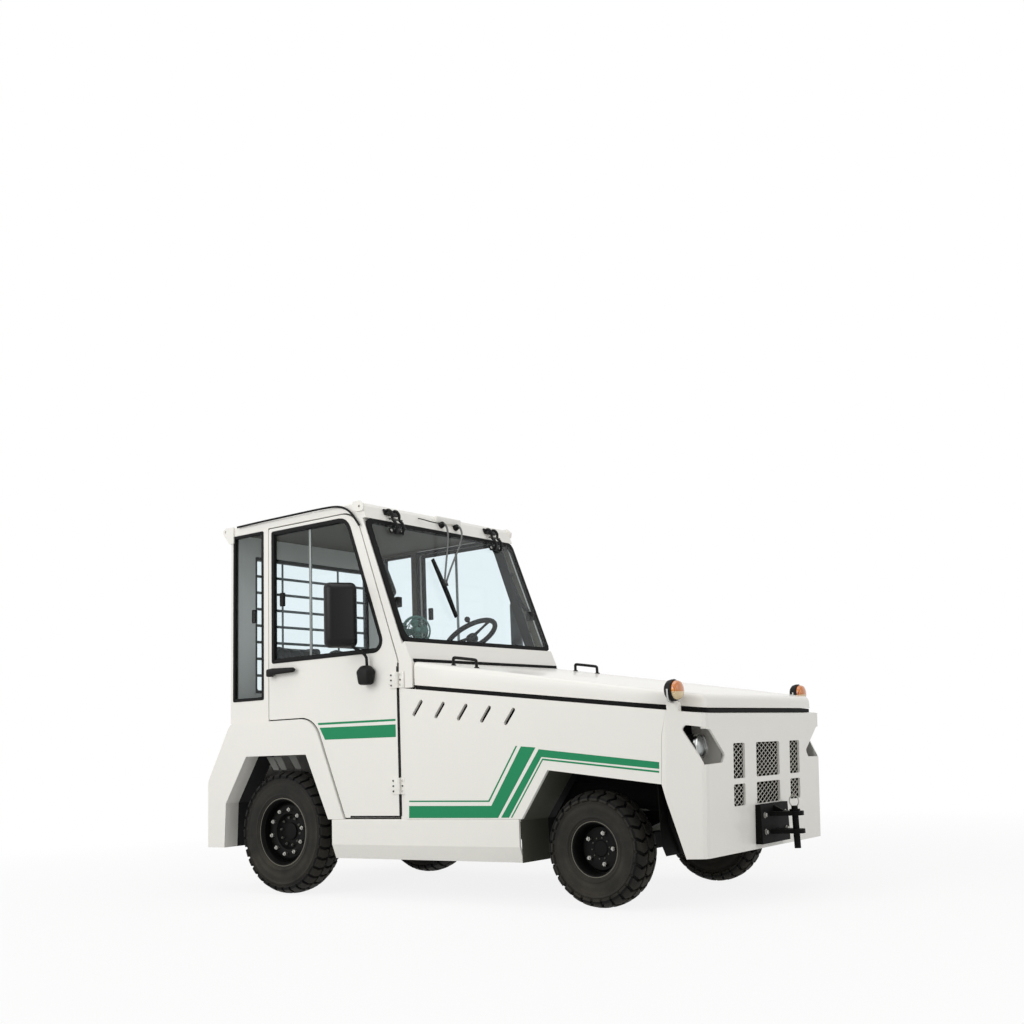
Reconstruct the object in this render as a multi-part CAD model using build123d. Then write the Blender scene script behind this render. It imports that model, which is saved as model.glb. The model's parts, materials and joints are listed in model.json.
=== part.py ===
from build123d import *
import math
import os

os.makedirs("parts", exist_ok=True)

# Airport baggage tug, millimetres. While it is modelled, X runs forward from the
# rear axle, Y to the vehicle's left and Z up from the ground. save() then moves
# every piece so that the origin is below the middle of the whole vehicle.
# What comes in pairs is drawn on the vehicle's right, at negative Y, and mirrored.

# ---- driving dimensions ----------------------------------------------------
MID_X = 1138                    # middle of the vehicle, forward of the rear axle
WHEELBASE = 2287
HALF_WIDTH = 768                # outer face of fenders, sills and front panels
CAB_HALF = 756                  # outer face of the cab sides
DOOR_HALF = 758                 # outer face of the doors
PANEL_T = 20                    # depth of a folded body panel
SHEET_T = 12                    # depth of a flanged sheet
CAB_T = 40                      # thickness of the cab's hollow pillars
DOOR_T = 42                     # thickness of a door leaf
GAP = 8                         # gap round the doors

# wheels: tyre radius, tyre width, rim radius, middle of the tyre in Y
REAR_TYRE = dict(radius=374, width=190, rim=196, middle=659)
FRONT_TYRE = dict(radius=298, width=182, rim=133, middle=637)
SPINDLE_R = 30
BORE_CLEAR = 0.05

# corners rounder than TRUE_ARC stay arcs, smaller ones are cut into chords
TRUE_ARC = 50
CHORD_ANGLE = math.radians(46)

# body side view, (X, Z)
SILL_TOP, SILL_CHAMFER, SILL_BOTTOM = 453, 307, 225
SILL_REAR, SILL_FRONT = 454, 1856
FENDER_BOTTOM, FENDER_TOP, FENDER_REAR = 276, 1060, -682
REAR_SHOULDER = 693
CAB_REAR = -475
ARCH_REAR = [(-518, FENDER_BOTTOM), (-506, 552), (-312, 845), (234, 842), (422, SILL_TOP)]
ARCH_FRONT = [(1852, SILL_TOP - 24), (2052, 706), (2737, 621)]
POST_REAR, POST_FRONT = 1003, 1043      # strip between the door and the front panel
PANEL_FRONT = 2737                      # rear edge of the front mask

# cab
ROOF_TOP, ROOF_BOTTOM = 2370, 2318
SCREEN_LOW, SCREEN_HIGH = (1058, 1473), (765, 2261)
SCREEN_TILT = (SCREEN_LOW[0] - SCREEN_HIGH[0]) / (SCREEN_HIGH[1] - SCREEN_LOW[1])
SCREEN_T = 27
FLOOR_Z = 632
SEAT_Y, SEAT_HALF = 275, 225
DOOR_REAR, DOOR_TOP = -104, 2306
DOOR_BEND = (1001, 1357)
DOOR_ARC = 172                          # big curve over the rear fender

# bonnet lid, above a dark gap that falls towards the front
LID_REAR, LID_FRONT, LID_HALF = 1118, 2955, 745
LID_REAR_H, LID_FRONT_H = 136, 102
LID_T = 8
SEAL_T = 24
COWL_X, COWL_TOP = LID_REAR - GAP, 1345

# front mask: (X, Z) of the bottom and top of its leaning face
MASK_BOTTOM, MASK_TOP = (2933, 260), (2977, 960)
MASK_HALF = 700

# steering and suspension
KINGPIN_Y, KINGPIN_R = 500, 16
STEER_ARM = 140
RAIL_Y, RAIL_W, RAIL_Z, RAIL_H = 330, 60, 480, 150
ENGINE_HALF = 235

SIDES = (("right", -1), ("left", 1))


def screen_x(z):
    """X of the sloping cab front at height z."""
    return SCREEN_LOW[0] - (z - SCREEN_LOW[1]) * SCREEN_TILT


def screen_back_x(z):
    """X of the inner side of the sloping cab front at height z."""
    return screen_x(z) - SCREEN_T


def seal_z(x):
    """Height of the middle of the dark gap under the bonnet lid."""
    return 1199 - (x - 1132) * (1199 - 995) / (2785 - 1132)


def mask_x(z):
    """X of the leaning front face at height z."""
    (x0, z0), (x1, z1) = MASK_BOTTOM, MASK_TOP
    return x0 + (x1 - x0) * (z - z0) / (z1 - z0)


# ---- small makers ----------------------------------------------------------
def block(x0, x1, y0, y1, z0, z1):
    """Box between two corners, given in any order."""
    size = Box(abs(x1 - x0), abs(y1 - y0), abs(z1 - z0))
    return Pos((x0 + x1) / 2, (y0 + y1) / 2, (z0 + z1) / 2) * size


def with_chords(rows):
    """Outline rows whose small rounded corners are cut into a few straight chords."""
    outline = []
    for n, row in enumerate(rows):
        radius = row[2] if len(row) > 2 else 0
        if not 0 < radius < TRUE_ARC:
            outline.append((*row[:2], radius))
            continue
        corner = Vector(*row[:2])
        last = (Vector(*rows[n - 1][:2]) - corner).normalized()
        following = (Vector(*rows[(n + 1) % len(rows)][:2]) - corner).normalized()
        half = math.radians(last.get_angle(following)) / 2
        centre = corner + (last + following).normalized() * (radius / math.sin(half))
        reach, turn = radius / math.tan(half), math.pi - 2 * half
        start, end = corner + last * reach - centre, corner + following * reach - centre
        steps = max(2, math.ceil(turn / CHORD_ANGLE))
        for k in range(steps + 1):
            t = turn * k / steps
            spot = centre + (start * math.sin(turn - t) + end * math.sin(t)) * (1 / math.sin(turn))
            outline.append((spot.X, spot.Y, 0))
    return outline


def drawn(rows, place, reach, direction):
    """Closed outline from rows of (across, up, corner radius if any), drawn out by reach."""
    outline = with_chords(rows)
    corners = [place(*row[:2]) for row in outline]
    radii = [row[2] for row in outline]
    if any(radii):
        wire = FilletPolyline(*corners, radius=radii, close=True)
    else:
        wire = Polyline(*corners, close=True)
    return extrude(make_face(wire), amount=reach, dir=direction)


def side_plate(rows, y0, y1):
    """Outline in the side view, rows of (X, Z, radius), from y0 to y1."""
    return drawn(rows, lambda x, z: Vector(x, y0, z), y1 - y0, (0, 1, 0))


def plan_plate(rows, z0, z1):
    """Outline in the plan view, rows of (X, Y, radius), from z0 to z1."""
    return drawn(rows, lambda x, y: Vector(x, y, z0), z1 - z0, (0, 0, 1))


def front_plate(rows, x0, x1):
    """Outline in the front view, rows of (Y, Z, radius), from x0 to x1."""
    return drawn(rows, lambda y, z: Vector(x0, y, z), x1 - x0, (1, 0, 0))


def rod(start, end, radius, sides=0):
    """Bar from one point to another, round or with that many flat sides."""
    line = Vector(*end) - Vector(*start)
    section = RegularPolygon(radius, sides) if sides else Circle(radius)
    return extrude(Plane(origin=start, z_dir=line) * section, amount=line.length)


def upright(x, y, z0, z1, radius, sides=0):
    """Upright bar, round or with that many flat sides."""
    return rod((x, y, z0), (x, y, z1), radius, sides)


def mirrored(shape):
    """The same piece on the other side of the vehicle."""
    return mirror(shape, about=Plane.XZ)


def on_side(shape, side):
    """side -1 keeps a piece drawn on the vehicle's right, +1 mirrors it to the left."""
    return shape if side < 0 else mirrored(shape)


def pair(shape):
    """A piece and its mirror image, apart from each other, in one node."""
    return Compound(children=[*shape.solids(), *mirrored(shape).solids()])


def save(name, shape):
    export_step(Pos(-MID_X, 0, 0) * shape, f"parts/{name}.step")


def faceted_ring(profile, count):
    """Carries an (across, radius) outline round the Y axis in flat facets."""
    lean = math.tan(math.pi / count)
    top = 1.1 * max(radius for _, radius in profile)
    strip = drawn(profile, lambda y, r: Vector(-top * lean, y, r), 2 * top * lean, (1, 0, 0))
    across = max(abs(y) for y, _ in profile) + 1
    wedge = strip & side_plate([(0, 0), (-top * lean, top), (top * lean, top)], -across, across)
    return Part() + [Rot(0, 360 / count * n, 0) * wedge for n in range(count)]


# ---- wheels ----------------------------------------------------------------
LUG_H = 15                      # from the tread up to a lug's corners
LUG_ROOT = 32                   # how deep a lug is rooted in the carcass
LUGS = 18                       # lugs in each of a tyre's two rows
# carcass from the bead to the tread: (share of the width, share of the wall)
CARCASS = [(-0.40, 0.0), (-0.50, 0.45), (-0.47, 0.86), (-0.34, 1.0)]
# one slanting lug in plan: (share of its length round the tyre, share of the width)
LUG = [(-0.55, 0.02), (0.20, 0.02), (0.62, 0.485), (-0.12, 0.485)]
RIM_FACETS = 16
FLANGE_H, FLANGE_T = 9, 6
BOSS_END = 44                   # inboard end of a wheel's hub, from the tyre's middle
BORE_START = 14                 # blind end of the bore for the spindle


def tyre(radius, width, rim, middle):
    """Pneumatic tyre: carcass with two staggered rows of slanting lugs."""
    base = radius - LUG_H
    seat = rim / math.cos(math.pi / RIM_FACETS) + 1
    half = [(width * across, seat + (base - seat) * up) for across, up in CARCASS]
    body = faceted_ring(half + [(-y, r) for y, r in reversed(half)], LUGS)
    length = 0.66 * 2 * math.pi * base / LUGS
    crown = math.sqrt(radius ** 2 - (length * max(along for along, _ in LUG)) ** 2)
    lugs = []
    for row, turn in ((1, 0), (-1, 0.5)):
        plan = [(length * along, row * width * across) for along, across in LUG]
        lug = plan_plate(plan, base - LUG_ROOT, crown)
        lugs += [Rot(0, 360 / LUGS * (n + turn), 0) * lug for n in range(LUGS)]
    return body + lugs


def rim(radius, width, ring_y, hub_y, bowl, hub_radius):
    """Rim with flange, dished disc and hub; its outer face looks to -Y."""
    edge = 0.40 * width + FLANGE_T + 1
    barrel, disc_t = radius - 12, 12
    profile = [(-edge, barrel), (-edge, radius + FLANGE_H), (-edge + FLANGE_T, radius + FLANGE_H),
               (-edge + FLANGE_T, radius), (edge, radius), (edge, barrel),
               (ring_y + 26, barrel), (ring_y + disc_t, bowl), (hub_y + disc_t, bowl - 12),
               (hub_y + disc_t, hub_radius), (BOSS_END, hub_radius), (BOSS_END, 0), (hub_y - 8, 0),
               (hub_y - 8, hub_radius), (hub_y, bowl - 20), (ring_y, bowl - 6), (ring_y, barrel - 24),
               (ring_y + 14, barrel)]
    body = faceted_ring(profile, RIM_FACETS)
    return body - rod((0, BORE_START, 0), (0, BOSS_END + 2, 0), SPINDLE_R + BORE_CLEAR)


rear_tyre, front_tyre = tyre(**REAR_TYRE), tyre(**FRONT_TYRE)
rear_rim = rim(REAR_TYRE["rim"], REAR_TYRE["width"], ring_y=-36, hub_y=-8, bowl=118, hub_radius=52)
front_rim = rim(FRONT_TYRE["rim"], FRONT_TYRE["width"], ring_y=-12, hub_y=-4, bowl=66, hub_radius=40)
for where, size, tread, wheel, x in (("rear", REAR_TYRE, rear_tyre, rear_rim, 0),
                                     ("front", FRONT_TYRE, front_tyre, front_rim, WHEELBASE)):
    place = Pos(x, -size["middle"], size["radius"])
    for side, sign in SIDES:
        save(f"tyre_{where}_{side}", on_side(place * tread, sign))
        save(f"rim_{where}_{side}", on_side(place * wheel, sign))

# ---- axles, knuckles, steering rod ----------------------------------------
rear_z, front_z = REAR_TYRE["radius"], FRONT_TYRE["radius"]
TUBE_R, DRUM_R, PINION_R = 62, 120, 90
GEAR_CASE = [(-170, 60), (-95, 150), (95, 150), (170, 60)]      # bowl round the gears: (Y, radius)
housing = rod((0, -500, rear_z), (0, 500, rear_z), TUBE_R, 10)
housing += Pos(0, 0, rear_z) * faceted_ring(GEAR_CASE, 14)
housing += rod((10, 0, rear_z), (210, 0, rear_z), PINION_R, 10)
for sign in (-1, 1):
    housing += rod((0, sign * 500, rear_z), (0, sign * 635, rear_z), SPINDLE_R)
    housing += rod((0, sign * 500, rear_z), (0, sign * 570, rear_z), DRUM_R, 14)
    housing += block(-70, 70, sign * RAIL_Y - 45, sign * RAIL_Y + 45, rear_z, rear_z + 76)
save("rear_axle", housing)

# steering fork at each end of the beam: two ears, a web behind them and a fixed kingpin
FORK_GAP, FORK_END, EAR_END_R = 44, 78, 30      # heights of an ear's faces off the axle's height
beam = block(WHEELBASE - 38, WHEELBASE + 38, -KINGPIN_Y + 40, KINGPIN_Y - 40, front_z - 42, front_z + 42)
for sign in (-1, 1):
    y = sign * KINGPIN_Y
    for near, far in ((FORK_GAP, FORK_END), (-FORK_END, -FORK_GAP)):
        beam += upright(WHEELBASE, y, front_z + near, front_z + far, EAR_END_R, 8)
        beam += block(WHEELBASE - 26, WHEELBASE + 26, y, y - sign * 75, front_z + near, front_z + far)
    beam += block(WHEELBASE - 30, WHEELBASE + 30, y - sign * 40, y - sign * 80,
                  front_z - FORK_END, front_z + FORK_END)
    beam += upright(WHEELBASE, y, front_z - FORK_END + 3, front_z + FORK_END - 3, KINGPIN_R)
    beam += block(WHEELBASE - 60, WHEELBASE + 60, sign * RAIL_Y - 40, sign * RAIL_Y + 40,
                  front_z + 30, front_z + 60)
save("front_axle", beam)

arm_x, arm_z = WHEELBASE - STEER_ARM, front_z - 26
ARM_HALF, ARM_EYE_R, FLANGE_OUT = 13, 21, 46
ROD_PIN_R, ROD_R, ROD_DROP = 9, 13, 30
knuckle = upright(WHEELBASE, -KINGPIN_Y, front_z - 42, front_z + 42, 29, 8)
# along the spindle's line, outward: (start, end, radius, sides)
for near, far, radius, sides in ((20, FLANGE_OUT - 10, 30, 8), (FLANGE_OUT - 10, FLANGE_OUT, 60, 10),
                                 (FLANGE_OUT, 112, SPINDLE_R, 0)):
    ends = [(WHEELBASE, -KINGPIN_Y - out, front_z) for out in (near, far)]
    knuckle += rod(*ends, radius, sides)
knuckle += block(arm_x, WHEELBASE - 12, -KINGPIN_Y - ARM_HALF, -KINGPIN_Y + ARM_HALF, arm_z - 12, arm_z + 12)
knuckle += upright(arm_x, -KINGPIN_Y, arm_z - 12, arm_z + 12, ARM_EYE_R, 8)
knuckle -= upright(WHEELBASE, -KINGPIN_Y, front_z - 45, front_z + 45, KINGPIN_R + BORE_CLEAR)
# the rod's left pin is the one left open in the closed linkage, so its hole has more room
for side, sign, room in (("right", -1, BORE_CLEAR), ("left", 1, 3)):
    hole = upright(arm_x, -KINGPIN_Y, arm_z - 15, arm_z + 15, ROD_PIN_R + room)
    save(f"knuckle_{side}", on_side(knuckle - hole, sign))
rod_z = arm_z - ROD_DROP
tie = rod((arm_x, -KINGPIN_Y + 18, rod_z), (arm_x, KINGPIN_Y - 18, rod_z), ROD_R, 8)
for sign in (-1, 1):
    tie += upright(arm_x, sign * KINGPIN_Y, rod_z - 15, rod_z + 15, ARM_EYE_R, 8)
    tie += upright(arm_x, sign * KINGPIN_Y, rod_z + 15, arm_z + 14, ROD_PIN_R)
save("tie_rod", tie)

# ---- chassis frame and springs ---------------------------------------------
CROSS_MEMBERS = (-600, -230, 560, 1340, 2320, 2760)             # rear face of each, X
frame = Part()
for sign in (-1, 1):
    rail_y = sign * RAIL_Y
    frame += block(-640, 2890, rail_y - RAIL_W / 2, rail_y + RAIL_W / 2, RAIL_Z, RAIL_Z + RAIL_H)
    for x in (1480, 2160):
        frame += block(x, x + 70, sign * ENGINE_HALF, rail_y, RAIL_Z + 50, RAIL_Z + 90)
for x in CROSS_MEMBERS:
    frame += block(x, x + 60, -RAIL_Y, RAIL_Y, RAIL_Z + 20, RAIL_Z + RAIL_H - 20)
frame += block(FENDER_REAR + SHEET_T, -640, -RAIL_Y, RAIL_Y, 300, RAIL_Z + RAIL_H)
frame += side_plate([(2880, 280), (mask_x(280) - SHEET_T, 280), (mask_x(470) - SHEET_T, 470), (2890, 470),
                     (2890, RAIL_Z + RAIL_H), (2880, RAIL_Z + RAIL_H)], -RAIL_Y, RAIL_Y)
frame += front_plate([(-660, 620), (-660, 420), (-560, 268), (560, 268), (660, 420), (660, 620)], 2700, 2712)
save("chassis_frame", frame)

# leaf packs: (X of the axle, height of the pad, half length)
springs = Part()
for x, low, reach in ((0, rear_z + 76, 420), (WHEELBASE, front_z + 60, 330)):
    springs += side_plate([(x - reach, RAIL_Z), (x - reach, RAIL_Z - 20), (x - 60, low), (x + 60, low),
                           (x + reach, RAIL_Z - 20), (x + reach, RAIL_Z), (x + 90, RAIL_Z - 14),
                           (x - 90, RAIL_Z - 14)], -RAIL_Y - 28, -RAIL_Y + 28)
save("leaf_springs", pair(springs))

# ---- engine and tank --------------------------------------------------------
save("engine_block", block(1420, 2280, -ENGINE_HALF, ENGINE_HALF, 500, 1060))
save("tank_and_battery_box", pair(block(640, 1240, -640, -RAIL_Y - RAIL_W / 2, 250, 500)))

# ---- sills, front side panels and front wheelhouses --------------------------
SILL_DEPTH, SILL_LIP, SILL_STEEL = 120, 14, 14
sill_rows = [(HALF_WIDTH, SILL_TOP, 6), (HALF_WIDTH, SILL_CHAMFER, 10), (HALF_WIDTH - 34, SILL_BOTTOM),
             (HALF_WIDTH - SILL_DEPTH, SILL_BOTTOM), (HALF_WIDTH - SILL_DEPTH, SILL_BOTTOM + SILL_LIP),
             (HALF_WIDTH - 42, SILL_BOTTOM + SILL_LIP), (HALF_WIDTH - SILL_STEEL, SILL_CHAMFER + 4),
             (HALF_WIDTH - SILL_STEEL, SILL_TOP - SILL_LIP), (HALF_WIDTH - SILL_DEPTH, SILL_TOP - SILL_LIP),
             (HALF_WIDTH - SILL_DEPTH, SILL_TOP)]
sill = front_plate([(-row[0], *row[1:]) for row in sill_rows], SILL_REAR, SILL_FRONT - 6)
save("sills", pair(sill))

panel_rear = POST_FRONT + 4
panel = side_plate([(panel_rear, SILL_TOP), (1869, SILL_TOP), ARCH_FRONT[1], ARCH_FRONT[2], (2755, 858),
                    (2788, seal_z(2788) - SEAL_T / 2), (panel_rear, seal_z(POST_FRONT) - SEAL_T / 2)],
                   -HALF_WIDTH, -HALF_WIDTH + PANEL_T)
# slanting slots, each as if cut with a round tool
SLOTS, SLOT_PITCH, SLOT_DROP, SLOT_L, SLOT_W, SLOT_TURN = 5, 165, 20, 112, 24, 51
corners = [(SLOT_L / 2 * a, SLOT_W / 2 * b, SLOT_W / 2 - 1) for a, b in ((-1, -1), (1, -1), (1, 1), (-1, 1))]
slot = Rot(0, -SLOT_TURN, 0) * side_plate(corners, -PANEL_T, PANEL_T)
for n in range(SLOTS):
    panel -= Pos(1156 + n * SLOT_PITCH, -HALF_WIDTH, 1078 - n * SLOT_DROP) * slot
for side, sign in SIDES:
    save(f"front_panel_{side}", on_side(panel, sign))

arch = [(SILL_FRONT, SILL_BOTTOM), (SILL_FRONT - 2, SILL_TOP - 10)] + ARCH_FRONT[1:]
liner = side_plate(arch + [(x, z + 6) for x, z in reversed(ARCH_FRONT[1:])]
                   + [(SILL_FRONT - 6, SILL_TOP - 4), (SILL_FRONT - 6, SILL_BOTTOM)],
                   -HALF_WIDTH + PANEL_T, -430)
save("front_wheelhouses", pair(liner))

# ---- rear fenders and rear panel ---------------------------------------------
outer = [(-677, FENDER_BOTTOM), (FENDER_REAR, REAR_SHOULDER, 60), (-468, FENDER_TOP, 60),
         (298, FENDER_TOP, DOOR_ARC), (551, SILL_TOP)]
fender = side_plate(outer + list(reversed(ARCH_REAR)), -HALF_WIDTH, -HALF_WIDTH + PANEL_T)
inner_arch = [(x, z + 7) for x, z in reversed(ARCH_REAR[1:4])]
arch_lining = ARCH_REAR + [(430, SILL_TOP)] + inner_arch + [(-525, FENDER_BOTTOM)]
inner_wall = [(-506, 560), (-312, 845), (234, 842), (360, 580), (360, 1050), (-462, 1050), (-506, 980)]
fender += side_plate(arch_lining, -HALF_WIDTH + PANEL_T, -526) + side_plate(inner_wall, -532, -526)
rear_panel = side_plate([(FENDER_REAR, 330), (FENDER_REAR, REAR_SHOULDER, 60), (-468, FENDER_TOP),
                         (-456, FENDER_TOP), (FENDER_REAR + SHEET_T, REAR_SHOULDER - 3, 48),
                         (FENDER_REAR + SHEET_T, 330)], -HALF_WIDTH + PANEL_T, HALF_WIDTH - PANEL_T)
for side, sign in SIDES:
    save(f"rear_fender_{side}", on_side(fender - rear_panel, sign))
save("rear_panel", rear_panel)
lamp_box = block(FENDER_REAR - 30, FENDER_REAR, -700, -560, 560, 650)
save("rear_lamps", pair(lamp_box))

# ---- cab ----------------------------------------------------------------------
inner = CAB_HALF - CAB_T
HEADER_Z = SCREEN_HIGH[1] + 1
cab_outline = [(CAB_REAR, FENDER_TOP), (CAB_REAR, ROOF_BOTTOM), (screen_back_x(ROOF_BOTTOM), ROOF_BOTTOM),
               (screen_back_x(COWL_TOP), COWL_TOP), (COWL_X, COWL_TOP), (COWL_X, 1200), (POST_FRONT, 1200),
               (POST_FRONT, SILL_TOP), (990, SILL_TOP), (990, FENDER_TOP)]
cab_side = side_plate(cab_outline, -CAB_HALF, -inner)
door_hole = [(DOOR_REAR - GAP, 400), (DOOR_REAR - GAP, DOOR_TOP + GAP), (680, DOOR_TOP + GAP, 160),
             (DOOR_BEND[0] + GAP, 1359), (POST_REAR, 1350), (POST_REAR, 400)]
quarter_hole = [(-447, 1201, 14), (-447, 2300, 14), (-158, 2300, 14), (-158, 1201, 14)]
for rows in (door_hole, quarter_hole):
    cab_side -= side_plate(rows, -CAB_HALF - 5, -inner + 5)
cab = cab_side + mirrored(cab_side)
cab += (block(CAB_REAR, CAB_REAR + PANEL_T, -inner, inner, FENDER_TOP, ROOF_BOTTOM)
        - block(CAB_REAR - 5, CAB_REAR + 25, -560, 560, 1260, 2190))
cab += side_plate([(screen_back_x(HEADER_Z), HEADER_Z), (screen_back_x(ROOF_BOTTOM), ROOF_BOTTOM),
                   (screen_back_x(ROOF_BOTTOM) - 40, ROOF_BOTTOM), (screen_back_x(HEADER_Z) - 40, HEADER_Z)],
                  -inner, inner)

scuttle = side_plate([(screen_back_x(COWL_TOP), COWL_TOP), (COWL_X, COWL_TOP), (screen_x(1472), 1472),
                      (screen_back_x(1460), 1460)], -CAB_HALF, CAB_HALF)
scuttle += block(COWL_X - 16, COWL_X, -inner, inner, 1195, COWL_TOP)
scuttle += block(COWL_X - 14, COWL_X - 4, -inner, inner, RAIL_Z + RAIL_H, 1195)
save("scuttle", scuttle)

roof_outline = [(CAB_REAR - 4, ROOF_BOTTOM), (CAB_REAR - 4, ROOF_TOP, 24), (screen_x(ROOF_TOP), ROOF_TOP, 44),
                (screen_x(HEADER_Z), HEADER_Z), (screen_back_x(HEADER_Z), HEADER_Z),
                (screen_back_x(ROOF_BOTTOM), ROOF_BOTTOM)]
roof = side_plate(roof_outline, -CAB_HALF, CAB_HALF)
roof = chamfer(roof.faces().sort_by(Axis.Z)[-1].edges().filter_by(Axis.X), 12)

# lifting eyes at the four roof corners: cheek plates with a hole each
EYE_R, EYE_T, EYE_BLIND = 9, 12, 30
REAR_EYE, FRONT_EYE = (-520, 2343), (720, 2336)
rear_eye = side_plate([(-440, 2256), (-440, 2366), (-520, 2368, 14), (-550, 2350, 14), (-540, 2324, 20),
                       (-482, 2256)], -CAB_HALF - EYE_T, -CAB_HALF)
front_eye = side_plate([(664, 2322), (664, 2370, 8), (724, 2373, 10), (758, 2344, 12), (752, 2306, 10),
                        (700, 2306, 10)], -CAB_HALF - EYE_T, -CAB_HALF)
front_eye -= side_plate(door_hole, -CAB_HALF - EYE_T - 5, -CAB_HALF + 5)
roof += rear_eye + front_eye + mirrored(rear_eye + front_eye)
rear_hole = Pos(REAR_EYE[0], -CAB_HALF, REAR_EYE[1]) * Rot(90, 0, 0) * Cylinder(EYE_R, 60)
front_hole = (Pos(FRONT_EYE[0], -CAB_HALF - EYE_T + EYE_BLIND / 2, FRONT_EYE[1]) * Rot(90, 0, 0)
              * Cylinder(EYE_R, EYE_BLIND))
for hole in (rear_hole, front_hole):
    roof -= hole
    roof -= mirrored(hole)
save("roof", roof)

floor = block(430, COWL_X - 14, -inner + 6, inner - 6, FLOOR_Z, FLOOR_Z + 6)
seat_box = side_plate([(-450, 1050), (-450, 870), (430, 870), (430, FLOOR_Z), (436, FLOOR_Z),
                       (436, 880), (-440, 880), (-440, 1050)], -520, 520)
save("cab_floor", floor + seat_box)
dash = side_plate([(COWL_X - 17, 1195), (COWL_X - 17, 1330), (1050, 1400, 30), (900, 1380, 30),
                   (860, 1300, 20), (880, 1180, 20), (1000, 1150)], -inner, inner)
save("dashboard", dash - scuttle)

# ---- doors ----------------------------------------------------------------------
door_bottom = SILL_TOP + GAP
door = side_plate([(DOOR_REAR, FENDER_TOP + GAP, 10), (DOOR_REAR, DOOR_TOP, 12), (677, DOOR_TOP, 168),
                   DOOR_BEND, (POST_REAR - GAP, 1350), (POST_REAR - GAP, door_bottom, 6),
                   (551 + GAP, door_bottom, 6), (298 + GAP, FENDER_TOP + GAP, DOOR_ARC + 4)],
                  -DOOR_HALF, -DOOR_HALF + DOOR_T)
window_rows = [(-73, 1427, 14), (-73, 2282, 14), (611, 2282, 104), (909, 1427, 68)]
door -= side_plate(window_rows, -DOOR_HALF - 5, -DOOR_HALF + DOOR_T + 5)
GLASS_INSET, GLASS_T = 16, 6
door_glass = side_plate(window_rows, -DOOR_HALF + GLASS_INSET, -DOOR_HALF + GLASS_INSET + GLASS_T)

HINGE_X, HINGE_Y, HINGE_R, KNUCKLE_R = 1001, -DOOR_HALF - 12, 6, 11
HINGE_HEIGHTS, LEAF_H = (640, 1250), 44
post_hinges = Part()
for z in HINGE_HEIGHTS:
    low, high = z - LEAF_H / 2, z + LEAF_H / 2
    door += block(925, HINGE_X, -DOOR_HALF - 5, -DOOR_HALF, low, high)
    door += upright(HINGE_X, HINGE_Y, low, high, KNUCKLE_R, 8)
    door -= upright(HINGE_X, HINGE_Y, low - 5, high + 5, HINGE_R + BORE_CLEAR)
    for z0, z1 in ((low - 24, low - 1), (high + 1, high + 24)):
        post_hinges += block(HINGE_X, 1040, -DOOR_HALF - 7, -CAB_HALF, z0, z1)
        post_hinges += upright(HINGE_X, HINGE_Y, z0, z1, KNUCKLE_R, 8)
    post_hinges += upright(HINGE_X, HINGE_Y, low - 24, high + 24, HINGE_R)
save("cab_frame", cab + post_hinges + mirrored(post_hinges))

# lever handle: a lock plate at its rear and a lever that stands off the door
HANDLE_Z = 1363
door += block(-83, -45, -DOOR_HALF - 20, -DOOR_HALF, HANDLE_Z - 16, HANDLE_Z + 16)
door += side_plate([(-83, HANDLE_Z - 11), (-83, HANDLE_Z + 11), (120, HANDLE_Z + 9), (152, HANDLE_Z),
                    (120, HANDLE_Z - 9)], -DOOR_HALF - 34, -DOOR_HALF - 20)

# mirror: a foot on the door, a bent arm and a tall shell that looks back to the driver
ARM_R = 10
foot = side_plate([(740, 1246, 18), (740, 1340, 12), (824, 1340, 12), (818, 1252, 22), (786, 1238, 14)],
                  -DOOR_HALF - 56, -DOOR_HALF)
foot = chamfer(foot.faces().sort_by(Axis.Y)[0].edges(), 9)
arm = rod((782, -DOOR_HALF - 28, 1330), (782, -DOOR_HALF - 32, 1396), ARM_R, 8)
arm += rod((782, -DOOR_HALF - 32, 1390), (735, -850, 1478), ARM_R, 8)
SHELL_HALF, SHELL_T, SHELL_LOW, SHELL_HIGH = 98, 90, 1458, 1850
shell = plan_plate([(-SHELL_HALF, 0), (-SHELL_HALF, SHELL_T, 34), (SHELL_HALF, SHELL_T, 34), (SHELL_HALF, 0)],
                   SHELL_LOW, SHELL_HIGH)
ends = shell.faces().filter_by(Axis.Z).edges()
shell = chamfer([e for e in ends if e.center().Y > 5], 14)
mirror_place = Pos(680, -890, 0) * Rot(0, 0, -123)
for side, sign in SIDES:
    save(f"door_{side}", on_side(door, sign))
    save(f"door_glass_{side}", on_side(door_glass, sign))
    save(f"mirror_{side}", on_side(foot + arm + mirror_place * shell, sign))

# ---- windscreen, quarter and rear windows ---------------------------------------
SCREEN_HALF, RUBBER_W, RUBBER_T, PANE_T = 750, 26, 24, 8
slope = math.atan(SCREEN_TILT)
inward = (-math.cos(slope), 0, -math.sin(slope))


def screen_sheet(inset, radius, thick):
    """Rounded sheet on the windscreen's slope, inset from the screen's outline."""
    half, low, high = SCREEN_HALF - inset, SCREEN_LOW[1] + inset, SCREEN_HIGH[1] - inset
    rows = [(-half, low, radius), (half, low, radius), (half, high, radius), (-half, high, radius)]
    return drawn(rows, lambda y, z: Vector(screen_x(z), y, z), thick, inward)


hole = screen_sheet(RUBBER_W, 40, RUBBER_T + 2)
save("windscreen_frame", screen_sheet(0, 36, RUBBER_T) - hole)
save("windscreen_glass", screen_sheet(RUBBER_W, 40, PANE_T))
quarter = side_plate(quarter_hole, -CAB_HALF + 10, -CAB_HALF + 16)
rear_glass = block(CAB_REAR + 8, CAB_REAR + 13, -560, 560, 1260, 2190)
save("cab_glass", Compound(children=[quarter, mirrored(quarter), rear_glass]))

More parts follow.
